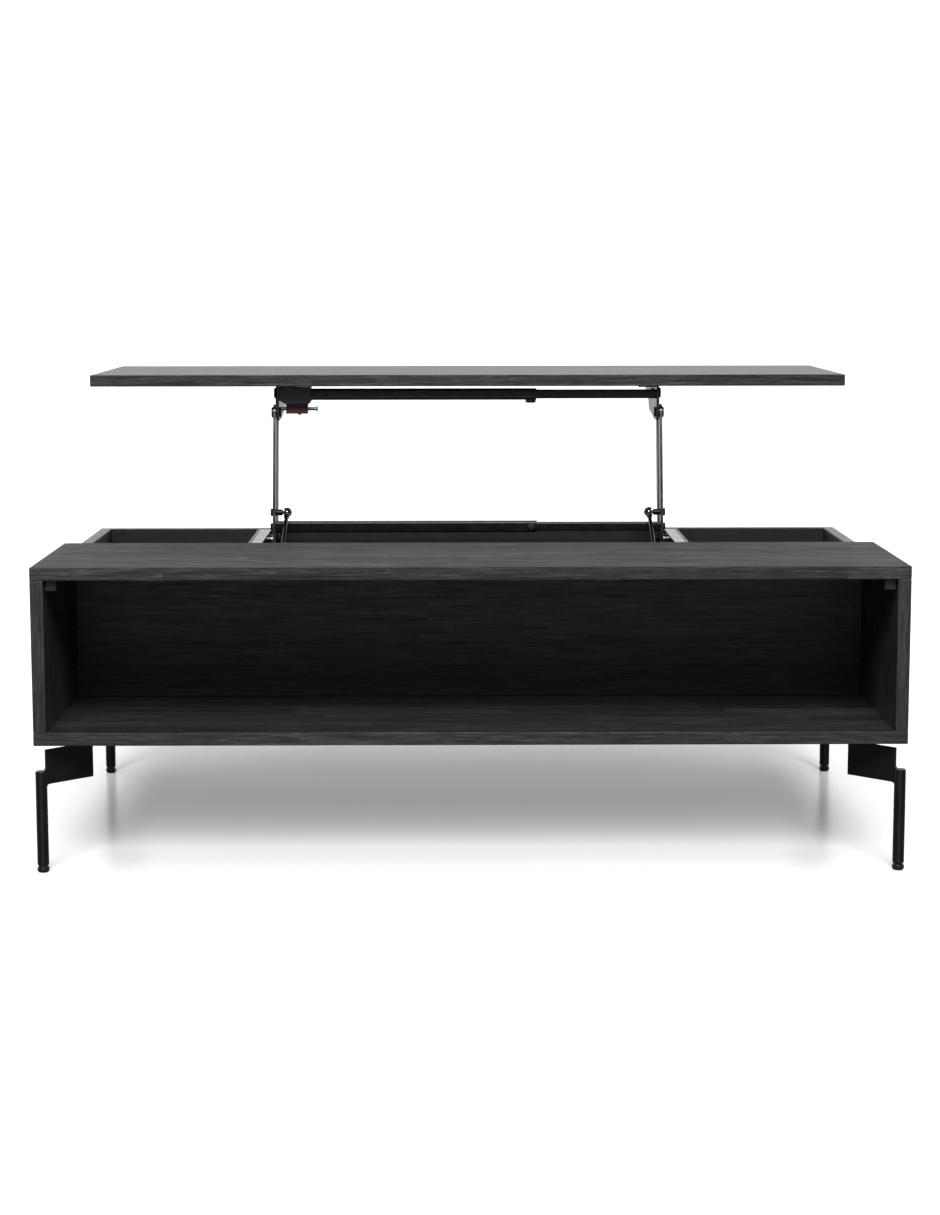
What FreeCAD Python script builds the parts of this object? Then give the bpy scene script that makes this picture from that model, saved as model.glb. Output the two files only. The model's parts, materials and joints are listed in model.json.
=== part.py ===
import FreeCAD, Part
import math
import os
import re
import Sketcher

# Coffee table whose rear top board lifts on a parallel-arm mechanism, drawn with the top raised.
# Millimetres, +Z up, floor at Z 0, the open niche faces -Y. Outlines use "table" coordinates with
# Y 0 at the front edge; frontY then moves every piece so that the raised outline is centred.

Vector = FreeCAD.Vector

# Driving sizes
sizes = {
    # boards
    "tableWidth": 1200, "tableDepth": 700, "board": 18, "easing": 1.2, "underside": 178,
    "bodyHeight": 210, "fixedDepth": 310, "topGap": 2, "closedGap": 0.6, "liftBack": 292,
    "liftRise": 234.8, "dividerInner": 324, "rebateWide": 12.5,
    # corner blocks and bumper pads
    "blockWide": 17, "blockHigh": 16, "blockDeep": 36, "blockEdge": 12, "padRadius": 4.5, "padHigh": 0.3,
    # arms and pivots
    "steel": 3, "armLength": 240, "armWide": 25, "armInner": 308, "armThick": 4, "pivotBack": 43,
    "pivotDrop": 43.4, "pairBack": 60, "pairUp": 28, "shankRadius": 4, "runClear": 0.05, "sideClear": 0.4,
    "headRadius": 8.5, "headHigh": 2.8, "nutHigh": 3, "bushRadius": 8,
    # brackets
    "plateOuter": 305.5, "flangeWide": 31.5, "bracketFront": 14, "bracketLong": 229, "bracketLow": 13,
    "basePlate": 320, "flangeBase": 16.5, "baseFront": 331, "baseRear": 676, "bracketCorner": 8,
    "anchorEnd": 16, "slopeEnd": 70, "slopeUp": 12, "rearUp": 16,
    # cross tubes with their end bolts and clamp screws
    "tubeSide": 18, "tubeWall": 1.5, "innerSide": 14, "innerStart": 60, "stepX": 110, "upperTubeUp": 29,
    "tubeReach": 55, "plugLong": 14, "smallNut": 6.4, "smallNutHigh": 4, "clampBack": 9,
    "clampRadius": 1.9, "clampGap": 0.1, "upperKnob": 8.5, "lowerKnob": 6, "knobHigh": 5, "knobEase": 2,
    # gas struts and ball studs
    "studReach": 78, "anchorY": 345, "anchorZ": 331, "ballRadius": 5, "ballCentre": 290, "studShank": 3,
    "collarAt": 7, "collarRadius": 4.9, "neckRadius": 2.6, "socketRadius": 7, "socketClear": 0.3,
    "mouthClear": 1.2, "cupIn": 12, "cupOut": 4.5, "clipAt": 10, "clipLong": 1.2, "clipThick": 1,
    "rodRadius": 3, "socketStem": 4.4, "socketNeck": 14, "cylinderRadius": 8, "boreRadius": 6.8,
    "pistonRadius": 6.7, "guideStart": 137, "guideEnd": 145, "pistonStart": 147, "pistonEnd": 153,
    "cylinderEnd": 272, "cylinderFloor": 269.5, "lowCupOut": 7.5, "anchorStart": 8,
    # lock under the upper cross tube
    "carrierLong": 51, "carrierFront": 12, "carrierRear": 24, "carrierLow": 611.5, "carrierCorner": 3.5,
    "carrierSlope": 11, "roomHalf": 9.5, "lockBack": 13, "lockZ": 603, "housingStart": 292.5,
    "housingLong": 35, "housingHalf": 9, "housingLow": 595.5, "nubStart": 274, "nubLong": 5.5,
    "nubHalf": 3, "nubHigh": 2, "pinRadius": 2.75, "pinTip": 306, "pinEnd": 243, "pinHead": 4.75,
    "pinHeadLong": 1.4, "pinClear": 0.3, "collarStart": 287.5, "collarLong": 2.5, "collarWide": 4.6,
    "roomStart": 288, "roomLong": 26, "roomRadius": 6, "springStart": 284.8, "springLong": 22.6,
    "springOuter": 5.2, "springInner": 4,
    # legs
    "legInset": 8.5, "legRadius": 8, "legWall": 1.5, "legTop": 142, "legBottom": 10.5, "tubeEase": 2,
    "gussetThick": 4, "gussetLow": 122, "gussetHigh": 170.5, "gussetLong": 87, "gussetTail": 8,
    "gussetFillet": 4, "seatWide": 5, "weldDeep": 0.8, "weldOut": 0.3, "tabStart": 50, "tabEnd": 84,
    "mountThick": 3, "mountNear": 44, "mountNearHalf": 13, "mountMid": 56, "mountMidHalf": 22,
    "mountFar": 92, "mountFarHalf": 46, "insertHigh": 20,
    # feet
    "footRim": 8.3, "footTip": 6.5, "footHigh": 9, "footTaper": 2.5, "footStep": 2, "footShoulder": 1.5,
    "stemRadius": 4, "stemHigh": 26,
}

# Screws: shank radius, shank length, head radius and head height
screwSizes = {
    "corner_block_screws": (1.8, 27, 3.6, 2), "panel_screws": (2.5, 49, 4.5, 1),
    "leg_screws": (2, 14, 4.2, 2.4), "top_bracket_screws": (2, 15, 4, 2),
    "base_bracket_screws": (1.8, 26, 3.5, 0.5),
}

# Where screws and pads stand, counted from the front of the table, of a block or of a bracket
sideRow = (120, 350, 580)
dividerRow = (400, 600)
padRow = ("345", "520", "tableDepth - board / 2")
blockRow = (9, 27)
topBracketRow = (54, 110, 165, 205)
baseBracketRow = (25, 115, 205, 285)
legScrewSpots = ((84, -33), (84, 33), (62, -18), (62, 18))

# Lower edges of the brackets, from the front pivot that each one carries
topBracketEdge = ((30, -13), (140, -2), (152, 12), (172, 17), (215, 21))
baseBracketEdge = ((-50, 12), (-12, -14), (16, -14), (76, 10))


def swing(reach, angle):
    """Offset along Y and Z of a point on an arm that makes this angle with +Y."""
    return reach * math.cos(angle), reach * math.sin(angle)


# Worked out: the arms swing the top through a chord of liftBack by liftRise
chord = math.hypot(sizes["liftBack"], sizes["liftRise"])
chordAngle = math.atan2(sizes["liftRise"], sizes["liftBack"])
halfSweep = math.asin(chord / 2 / sizes["armLength"])
raisedAngle = chordAngle + math.pi / 2 - halfSweep
boxTop = sizes["underside"] + sizes["board"] + sizes["bodyHeight"]
upperY = sizes["fixedDepth"] + sizes["topGap"] + sizes["liftBack"] + sizes["pivotBack"]
upperZ = boxTop + sizes["closedGap"] + sizes["liftRise"] - sizes["pivotDrop"]
armY, armZ = swing(sizes["armLength"], raisedAngle)
studY, studZ = swing(sizes["studReach"], raisedAngle)
tubeY, tubeZ = swing(sizes["tubeReach"], raisedAngle)
lowerY = upperY - armY
lowerZ = upperZ - armZ
strutY = lowerY + studY
strutZ = lowerZ + studZ
strutAngle = math.atan2(strutZ - sizes["anchorZ"], strutY - sizes["anchorY"])
sizes.update({
    "boxTop": boxTop, "liftUnder": boxTop + sizes["closedGap"] + sizes["liftRise"],
    "frontY": -(sizes["tableDepth"] + sizes["liftBack"]) / 2,
    "liftFront": sizes["fixedDepth"] + sizes["topGap"] + sizes["liftBack"],
    "upperY": upperY, "upperZ": upperZ, "lowerY": lowerY, "lowerZ": lowerZ,
    "strutY": strutY, "strutZ": strutZ, "crossY": lowerY + tubeY, "crossZ": lowerZ + tubeZ,
    "strutLong": math.hypot(strutZ - sizes["anchorZ"], strutY - sizes["anchorY"]),
})

doc = FreeCAD.newDocument("LiftTopTable")
sheet = doc.addObject("Spreadsheet::Sheet", "Sizes")
for row, (alias, value) in enumerate(sizes.items(), start=1):
    sheet.set(f"A{row}", alias)
    sheet.set(f"B{row}", f"{value:.6f}")
    sheet.setAlias(f"B{row}", alias)
doc.recompute()

kept = []
sides = (("left", -1), ("right", 1))
alongX = FreeCAD.Rotation(Vector(0, 1, 0), 90)
backY = FreeCAD.Rotation(Vector(1, 0, 0), -90)
nearby = 0.01


def formula(text):
    """Point every alias in a formula at its cell."""
    return re.sub(r"[a-z][A-Za-z]+", lambda word: "Sizes." + word.group(0), str(text))


def bind(item, **rules):
    for name, rule in rules.items():
        item.setExpression(name, formula(rule))


def moveTo(item, x, y, z, turn=None):
    """Y is counted from the front edge of the table."""
    if turn:
        item.Placement.Rotation = turn
    for axis, rule in (("x", x), ("y", f"frontY + {y}"), ("z", z)):
        item.setExpression(f"Placement.Base.{axis}", formula(rule))


def keep(item, label):
    item.Label = label
    kept.append(item)
    return item


def block(x, y, z, length, width, height, name="Block"):
    item = doc.addObject("Part::Box", name)
    bind(item, Length=length, Width=width, Height=height)
    moveTo(item, x, y, z)
    return item


def rod(x, y, z, radius, height, turn=None, name="Rod"):
    item = doc.addObject("Part::Cylinder", name)
    bind(item, Radius=radius, Height=height)
    moveTo(item, x, y, z, turn)
    return item


def hexagon(x, y, z, radius, height, turn=None, name="Hexagon"):
    item = doc.addObject("Part::Prism", name)
    item.Polygon = 6
    bind(item, Circumradius=radius, Height=height)
    moveTo(item, x, y, z, turn)
    return item


def ball(x, y, z, radius):
    item = doc.addObject("Part::Sphere", "Ball")
    bind(item, Radius=radius)
    moveTo(item, x, y, z)
    return item


def fuse(items, name="Fused"):
    item = doc.addObject("Part::MultiFuse", name)
    item.Shapes = items
    item.Refine = True
    return item


def cut(base, tool, name="Trimmed"):
    item = doc.addObject("Part::Cut", name)
    item.Base = base
    item.Tool = tool
    item.Refine = True
    return item


def ease(base, edges, radius, name="Eased"):
    """Round the numbered edges of a finished shape."""
    item = doc.addObject("Part::Fillet", name)
    item.Base = base
    item.Edges = [(edge, radius, radius) for edge in edges]
    return item


def sketchOn(body, role, name="Outline"):
    sketch = body.newObject("Sketcher::SketchObject", name)
    plane = [item for item in body.Origin.OriginFeatures if item.Role == role][0]
    sketch.AttachmentSupport = [(plane, "")]
    sketch.MapMode = "FlatFace"
    return sketch


def pinPoint(sketch, element, end, u, v):
    for kind, rule in (("DistanceX", u), ("DistanceY", v)):
        index = sketch.addConstraint(Sketcher.Constraint(kind, -1, 1, element, end, 1.0))
        sketch.setExpression(f"Constraints[{index}]", formula(rule))


def ringPoint(index, count):
    turn = 2 * math.pi * index / count
    return Vector(math.cos(turn), math.sin(turn), 0)


def drawOutline(sketch, corners):
    """A closed outline through corners, each a pair of formulas from the sketch's origin."""
    count = len(corners)
    for index in range(count):
        sketch.addGeometry(Part.LineSegment(ringPoint(index, count), ringPoint(index + 1, count)), False)
    for index in range(count):
        sketch.addConstraint(Sketcher.Constraint("Coincident", index, 2, (index + 1) % count, 1))
    for index, (u, v) in enumerate(corners):
        pinPoint(sketch, index, 1, u, v)


def drawCircle(sketch, u, v, radius):
    element = sketch.addGeometry(Part.Circle(Vector(0, 0, 0), Vector(0, 0, 1), 1), False)
    pinPoint(sketch, element, 3, u, v)
    index = sketch.addConstraint(Sketcher.Constraint("Radius", element, 1.0))
    sketch.setExpression(f"Constraints[{index}]", formula(radius))


def roundCorners(body, base, axis, corners, radius):
    """Fillet the edges that run along an axis at the outline's chosen corners."""
    doc.recompute()
    sketch = base.Profile[0]
    spots = [sketch.Geometry[index].StartPoint for index in corners]
    others = [name for name in "xyz" if name != axis]
    names = []
    for number, edge in enumerate(base.Shape.Edges, start=1):
        first, last = edge.Vertexes[0].Point, edge.Vertexes[-1].Point
        level = all(abs(getattr(first, name) - getattr(last, name)) < nearby for name in others)
        u, v = (getattr(first, name) for name in others)
        near = any(abs(u - spot.x) + abs(v - spot.y) < 2 * nearby for spot in spots)
        if level and near:
            names.append(f"Edge{number}")
    fillet = body.newObject("PartDesign::Fillet", "Corners")
    fillet.Base = (base, names)
    fillet.Radius = radius
    body.Tip = fillet
    return fillet


def plate(corners, thickness, holes=(), role="YZ_Plane", name="Plate"):
    """A flat plate padded from an outline with round holes."""
    body = doc.addObject("PartDesign::Body", name)
    sketch = sketchOn(body, role)
    drawOutline(sketch, corners)
    for u, v, radius in holes:
        drawCircle(sketch, u, v, radius)
    pad = body.newObject("PartDesign::Pad", "Thickness")
    pad.Profile = sketch
    bind(pad, Length=thickness)
    body.Tip = pad
    return body, pad


def turned(corners, name="Turned"):
    """A round piece: an outline of (radius, height) pairs turned about the Z axis."""
    body = doc.addObject("PartDesign::Body", name)
    sketch = sketchOn(body, "XZ_Plane")
    drawOutline(sketch, corners)
    revolution = body.newObject("PartDesign::Revolution", "Turn")
    revolution.Profile = sketch
    revolution.ReferenceAxis = (sketch, ["V_Axis"])
    revolution.Angle = 360
    body.Tip = revolution
    return body


def onSide(sign, near, thick):
    """Lowest X of a piece that starts at near from the middle and is thick outwards."""
    return near if sign > 0 else f"-({near}) - ({thick})"


def fasteners(label, places):
    """A group of like screws, each with its head on a face that it enters upwards (1) or downwards (-1)."""
    radius, length, headRadius, headHigh = screwSizes[label]
    parts = []
    for x, y, face, way in places:
        shank = f"{face}" if way > 0 else f"{face} - {headHigh} - {length}"
        parts.append(rod(x, y, f"{face} - {headHigh}", headRadius, headHigh))
        parts.append(rod(x, y, shank, radius, length))
    return keep(fuse(parts), label)


# Boards
def board(label, x, y, z, length, width, height):
    raw = block(x, y, z, length, width, height)
    return keep(ease(raw, range(1, 13), sizes["easing"]), label)


def makeBoards():
    board("fixed_top", "-tableWidth / 2", "0", "boxTop", "tableWidth", "fixedDepth", "board")
    board("bottom_board", "-tableWidth / 2", "0", "underside", "tableWidth", "tableDepth", "board")
    board("lift_top", "-tableWidth / 2", "liftFront", "liftUnder", "tableWidth",
          "tableDepth - fixedDepth - topGap", "board")
    inside = "tableWidth - 2 * board"
    for name, sign in sides:
        edge = onSide(sign, "tableWidth / 2 - board", "board")
        board(f"side_panel_{name}", edge, "0", "underside + board", "board", "tableDepth", "bodyHeight")
    board("niche_back_panel", "-tableWidth / 2 + board", "fixedDepth - board", "underside + board",
          inside, "board", "bodyHeight")
    board("rear_panel", "-tableWidth / 2 + board", "tableDepth - board", "underside + board",
          inside, "board", "bodyHeight")
    for name, sign in sides:
        panel = block(onSide(sign, "dividerInner", "board"), "fixedDepth", "underside + board",
                      "board", "tableDepth - fixedDepth - board", "bodyHeight")
        rebate = block(onSide(sign, "dividerInner", "rebateWide"), "fixedDepth", "boxTop - steel",
                       "rebateWide", "tableDepth - fixedDepth - board", "steel")
        keep(cut(panel, rebate), f"divider_{name}")


# Small carcass fittings
def makeCarcassFittings():
    blocks = []
    screws = []
    for _, sign in sides:
        x = onSide(sign, "tableWidth / 2 - board - blockWide", "blockWide")
        middle = f"{sign} * (tableWidth / 2 - board - blockWide / 2)"
        for y in ("blockEdge", "fixedDepth - board - blockEdge - blockDeep"):
            blocks.append(block(x, y, "boxTop - blockHigh", "blockWide", "blockDeep", "blockHigh"))
            screws += [(middle, f"{y} + {step}", "boxTop - blockHigh", 1) for step in blockRow]
    keep(fuse(blocks), "corner_blocks")
    fasteners("corner_block_screws", screws)

    panels = []
    for _, sign in sides:
        panels += [(f"{sign} * (tableWidth / 2 - board / 2)", y, "underside", 1) for y in sideRow]
        panels += [(f"{sign} * (dividerInner + board / 2)", y, "underside", 1) for y in dividerRow]
    fasteners("panel_screws", panels)

    pads = []
    for _, sign in sides:
        for y in padRow:
            pads.append(rod(f"{sign} * (tableWidth / 2 - board / 2)", y, "boxTop", "padRadius", "padHigh"))
    keep(fuse(pads), "bumper_pads")


# Legs
def makeLegs():
    wall = "legRadius - legWall / 2"
    under = "underside - mountThick"
    outline = [(wall, "gussetLow - gussetTail"), ("legRadius + weldOut", "gussetLow - gussetTail"),
               ("legRadius + weldOut", "gussetLow"), ("gussetLong", "gussetLow"),
               ("gussetLong", "gussetHigh"), ("tabEnd", "gussetHigh"), ("tabEnd", f"{under} + weldDeep"),
               ("tabStart", f"{under} + weldDeep"), ("tabStart", "gussetHigh"), ("legRadius", "gussetHigh"),
               ("legRadius", "legTop"), ("legRadius - seatWide", "legTop"),
               ("legRadius - seatWide", "legTop - weldDeep"), (wall, "legTop - weldDeep")]
    flange = [("mountNear", "-mountNearHalf"), ("mountMid", "-mountMidHalf"), ("mountFar", "-mountFarHalf"),
              ("mountFar", "mountFarHalf"), ("mountMid", "mountMidHalf"), ("mountNear", "mountNearHalf")]
    corners = (("front_left", -1, "legInset", 45), ("front_right", 1, "legInset", 135),
               ("rear_right", 1, "tableDepth - legInset", 225),
               ("rear_left", -1, "tableDepth - legInset", 315))
    screws = []
    inserts = []
    for name, sign, y, turn in corners:
        x = f"{sign} * (tableWidth / 2 - legInset)"
        gusset, web = plate(outline, "gussetThick", role="XZ_Plane")
        roundCorners(gusset, web, "y", (2, 10), sizes["gussetFillet"])
        moveLocal(gusset, 0, sizes["gussetThick"] / 2, 0)
        mount, _ = plate(flange, "mountThick", role="XY_Plane")
        moveLocal(mount, 0, 0, sizes["underside"] - sizes["mountThick"])
        leg = fuse([legTube(), gusset, mount])
        moveTo(leg, x, y, "0", FreeCAD.Rotation(Vector(0, 0, 1), turn))
        keep(leg, f"leg_{name}")
        for u, v in legScrewSpots:
            angle = math.radians(turn)
            across = u * math.cos(angle) - v * math.sin(angle)
            back = u * math.sin(angle) + v * math.cos(angle)
            screws.append((f"{x} + {across:.3f}", f"{y} + {back:.3f}", under, 1))
        sleeve = rod(x, y, "legBottom", "legRadius - legWall", "insertHigh")
        thread = rod(x, y, "legBottom", "stemRadius + runClear", "insertHigh")
        inserts.append(cut(sleeve, thread))
        foot = turned([("0", "0"), ("footTip", "0"), ("footRim", "footTaper"),
                       ("footRim", "footHigh - footStep"), ("footRim - footShoulder", "footHigh"),
                       ("stemRadius", "footHigh"), ("stemRadius", "footHigh + stemHigh"),
                       ("0", "footHigh + stemHigh")])
        moveTo(foot, x, y, "0")
        keep(foot, f"foot_{name}")
    fasteners("leg_screws", screws)
    keep(fuse(inserts), "leg_inserts")


def legTube():
    """A tube with a rounded, closed top, open below for the threaded insert."""
    bar = doc.addObject("Part::Cylinder", "LegBar")
    bind(bar, Radius="legRadius", Height="legTop - legBottom")
    hollow = doc.addObject("Part::Cylinder", "LegHollow")
    bind(hollow, Radius="legRadius - legWall", Height="legTop - legBottom - 2 * legWall")
    moveLocal(bar, 0, 0, sizes["legBottom"])
    moveLocal(hollow, 0, 0, sizes["legBottom"])
    return cut(easedEnd(bar, "ZMin", sizes["legTop"], sizes["tubeEase"]), hollow)


def easedEnd(item, side, place, radius):
    """Round the edges of an end face, found by the side of their boxes that lies at a place."""
    doc.recompute()
    edges = [number for number, edge in enumerate(item.Shape.Edges, start=1)
             if abs(getattr(edge.BoundBox, side) - place) < nearby]
    return ease(item, edges, radius)


def moveLocal(item, x, y, z):
    item.Placement.Base = Vector(x, y, z)


# Lift mechanism
def makeArm(label, sign, lowY, lowZ, reaches=()):
    """A flat link from the lower to the upper pivot, with round ends and small holes between."""
    body = doc.addObject("PartDesign::Body", "Arm")
    sketch = sketchOn(body, "YZ_Plane")
    half = sizes["armWide"] / 2
    away = Vector(-math.sin(raisedAngle) * half, math.cos(raisedAngle) * half, 0)
    low = Vector(lowY, lowZ, 0)
    high = low + Vector(armY, armZ, 0)
    normal = Vector(0, 0, 1)
    quarter = math.pi / 2
    lowRound = Part.Circle(low, normal, half)
    lowEnd = Part.ArcOfCircle(lowRound, raisedAngle + quarter, raisedAngle + 3 * quarter)
    highEnd = Part.ArcOfCircle(Part.Circle(high, normal, half), raisedAngle - quarter, raisedAngle + quarter)
    sketch.addGeometry(lowEnd, False)
    sketch.addGeometry(Part.LineSegment(low - away, high - away), False)
    sketch.addGeometry(highEnd, False)
    sketch.addGeometry(Part.LineSegment(high + away, low + away), False)
    for first, last in ((0, 1), (1, 2), (2, 3), (3, 0)):
        sketch.addConstraint(Sketcher.Constraint("Tangent", first, 2, last, 1))
    index = sketch.addConstraint(Sketcher.Constraint("Radius", 0, half))
    sketch.setExpression(f"Constraints[{index}]", formula("armWide / 2"))
    for element, spot in ((0, low), (2, high)):
        for kind, value in (("DistanceX", spot.x), ("DistanceY", spot.y)):
            sketch.addConstraint(Sketcher.Constraint(kind, -1, 1, element, 3, value))
        sketch.addGeometry(Part.Circle(spot, normal, sizes["shankRadius"]), False)
        hole = sketch.GeometryCount - 1
        sketch.addConstraint(Sketcher.Constraint("Coincident", hole, 3, element, 3))
        index = sketch.addConstraint(Sketcher.Constraint("Radius", hole, sizes["shankRadius"]))
        sketch.setExpression(f"Constraints[{index}]", formula("shankRadius + runClear"))
    for reach in reaches:
        across, rise = swing(reach, raisedAngle)
        drawCircle(sketch, lowY + across, lowZ + rise, "studShank")
    pad = body.newObject("PartDesign::Pad", "Thickness")
    pad.Profile = sketch
    bind(pad, Length="armThick")
    body.Tip = pad
    moveTo(body, onSide(sign, "armInner", "armThick"), "0", "0")
    return keep(body, label)


def makeTopBracket(name, sign):
    """The bracket under the lift top: a flat flange and a web that rises to the rear."""
    front = "upperY - bracketFront"
    edge = [(f"upperY + {back}", f"upperZ + {up}") for back, up in topBracketEdge]
    holes = [("upperY", "upperZ", "shankRadius"), ("upperY + pairBack", "upperZ + pairUp", "shankRadius"),
             ("upperY", "upperZ + upperTubeUp", "studShank")]
    if sign < 0:
        holes.append(("upperY + lockBack", "lockZ", "pinRadius + pinClear"))
    web, pad = plate([(front, "liftUnder"), (front, "upperZ - bracketLow")] + edge
                     + [(f"{front} + bracketLong", "liftUnder")], "steel", holes)
    roundCorners(web, pad, "x", (1, 2), sizes["bracketCorner"])
    moveTo(web, onSide(sign, "plateOuter - steel", "steel"), "0", "0")
    flange = block(onSide(sign, "plateOuter - flangeWide", "flangeWide"), front,
                   "liftUnder - steel", "flangeWide", "bracketLong", "steel")
    keep(fuse([web, flange]), f"top_bracket_{name}")


def makeBaseBracket(name, sign):
    """The angle on the divider: a flange in the rebate and a web with the fixed pivots."""
    edge = [(f"lowerY + {back}", f"lowerZ + {up}") for back, up in baseBracketEdge]
    web, pad = plate([("baseFront", "boxTop"), ("baseFront", "anchorZ - bracketLow"),
                      ("anchorY + anchorEnd", "anchorZ - bracketLow"),
                      ("anchorY + slopeEnd", "lowerZ + slopeUp")] + edge
                     + [("baseRear", "lowerZ + rearUp"), ("baseRear", "boxTop")], "steel",
                     [("lowerY", "lowerZ", "shankRadius"),
                      ("lowerY + pairBack", "lowerZ + pairUp", "shankRadius"),
                      ("anchorY", "anchorZ", "shankRadius")])
    roundCorners(web, pad, "x", (1, 2, 5, 6), sizes["bracketCorner"])
    moveTo(web, onSide(sign, "basePlate", "steel"), "0", "0")
    flange = block(onSide(sign, "basePlate", "flangeBase"), "baseFront", "boxTop - steel",
                   "flangeBase", "baseRear - baseFront", "steel")
    keep(fuse([web, flange]), f"base_bracket_{name}")


def across(sign, near, far, y, z, radius, make=None):
    """A round bar along X on one side of the table, from near to far of the middle."""
    length = f"{far} - ({near})"
    return (make or rod)(onSide(sign, near, length), y, z, radius, length, alongX)


def makePivots():
    """Each lower pivot is fixed in the base bracket, each upper one in the top bracket."""
    lower = []
    bushes = []
    upper = []
    nuts = []
    inner = "plateOuter - steel"
    outer = "armInner + armThick + sideClear"
    for back, up in (("0", "0"), ("pairBack", "pairUp")):
        for _, sign in sides:
            y, z = f"lowerY + {back}", f"lowerZ + {up}"
            lower.append(across(sign, "armInner - sideClear", "basePlate + steel", y, z, "shankRadius"))
            lower.append(across(sign, "armInner - sideClear - nutHigh", "armInner - sideClear", y, z,
                                "headRadius"))
            bushes.append(cut(across(sign, outer, "basePlate", y, z, "bushRadius"),
                              across(sign, outer, "basePlate", y, z, "shankRadius")))
            y, z = f"upperY + {back}", f"upperZ + {up}"
            upper.append(across(sign, f"{inner} - nutHigh", outer, y, z, "shankRadius"))
            upper.append(across(sign, "plateOuter", "armInner - sideClear", y, z, "bushRadius"))
            upper.append(across(sign, outer, f"{outer} + headHigh", y, z, "headRadius"))
            nuts.append(cut(across(sign, f"{inner} - nutHigh", inner, y, z, "headRadius", hexagon),
                            across(sign, f"{inner} - nutHigh", inner, y, z, "shankRadius")))
    keep(fuse(lower), "lower_pivot_bolts")
    keep(fuse(bushes), "lower_pivot_bushes")
    keep(fuse(upper), "upper_pivot_bolts")
    keep(fuse(nuts), "upper_pivot_nuts")


def squareTube(x, y, z, length, side, wall):
    """A level square tube along X, given the middle of its section."""
    outer = block(x, f"{y} - {side} / 2", f"{z} - {side} / 2", length, side, side)
    inner = block(x, f"{y} - {side} / 2 + {wall}", f"{z} - {side} / 2 + {wall}",
                  length, f"{side} - 2 * {wall}", f"{side} - 2 * {wall}")
    return cut(outer, inner)


def makeCrossTube(prefix, y, z, reach, knob, forward):
    """Two tubes that telescope to suit the width between the brackets, and their clamp screw."""
    x = "stepX - clampBack"
    face = "tubeSide / 2"
    stemLong = "(tubeSide - innerSide) / 2 - clampGap"

    def screwRod(start, length, radius):
        """A bar that begins this far from the middle of the tube, on its front or its underside."""
        if forward:
            return rod(x, f"{y} - ({start}) - ({length})", z, radius, length, backY)
        return rod(x, y, f"{z} - ({start}) - ({length})", radius, length)

    outer = squareTube(f"-({reach})", y, z, f"{reach} + stepX", "tubeSide", "tubeWall")
    keep(cut(outer, screwRod("tubeSide / 2 - tubeWall", "tubeWall", "clampRadius + runClear")),
         f"{prefix}_tube_outer")
    keep(squareTube("-innerStart", y, z, f"{reach} + innerStart", "innerSide", "tubeWall"),
         f"{prefix}_tube_inner")
    head = screwRod(face, "knobHigh", knob)
    side = "YMin" if forward else "ZMin"
    doc.recompute()
    place = getattr(head.Shape.BoundBox, side)
    farSide = side.replace("Min", "Max")
    knobShape = easedEnd(head, farSide, place, sizes["knobEase"])
    keep(fuse([knobShape, screwRod(f"{face} - ({stemLong})", f"{stemLong} + weldDeep", "clampRadius")]),
         f"{prefix}_clamp_screw")


def makeLock():
    """A pull pin in a small housing under the left end of the upper cross tube."""
    middle = "upperZ + upperTubeUp"
    wall = "-(plateOuter - steel)"
    right = f"{wall} + carrierLong"
    top = "liftUnder - steel"
    outline = [(wall, top), (wall, f"{middle} - roomHalf"), (f"{wall} + carrierSlope", "carrierLow"),
               (f"{right} - carrierCorner", "carrierLow"), (right, "carrierLow + carrierCorner"),
               (right, top)]
    carrier, _ = plate(outline, "carrierFront + carrierRear", role="XZ_Plane")
    moveTo(carrier, "0", "upperY + carrierRear", "0")
    room = block(wall, "upperY - roomHalf", f"{middle} - roomHalf",
                 "carrierLong", "2 * roomHalf", "2 * roomHalf")
    keep(cut(carrier, room), "lock_carrier")

    y = "upperY + lockBack"
    shell = block("-housingStart", f"{y} - housingHalf", "housingLow", "housingLong", "2 * housingHalf",
                  "carrierLow - housingLow")
    nub = block("-nubStart", f"{y} - nubHalf", "housingLow - nubHigh", "nubLong", "2 * nubHalf", "nubHigh")
    bore = rod("-pinTip", y, "lockZ", "pinRadius + pinClear", "carrierLong", alongX)
    hollow = rod("-roomStart", y, "lockZ", "roomRadius", "roomLong", alongX)
    keep(cut(fuse([shell, nub]), fuse([bore, hollow])), "lock_housing")
    pin = rod("-pinTip", y, "lockZ", "pinRadius", "pinTip - pinEnd", alongX)
    head = rod("-pinEnd", y, "lockZ", "pinHead", "pinHeadLong", alongX)
    collar = rod("-collarStart", y, "lockZ", "collarWide", "collarLong", alongX)
    keep(fuse([pin, head, collar]), "lock_pin")
    outside = rod("-springStart", y, "lockZ", "springOuter", "springLong", alongX)
    inside = rod("-springStart", y, "lockZ", "springInner", "springLong", alongX)
    keep(cut(outside, inside), "lock_spring")


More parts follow.
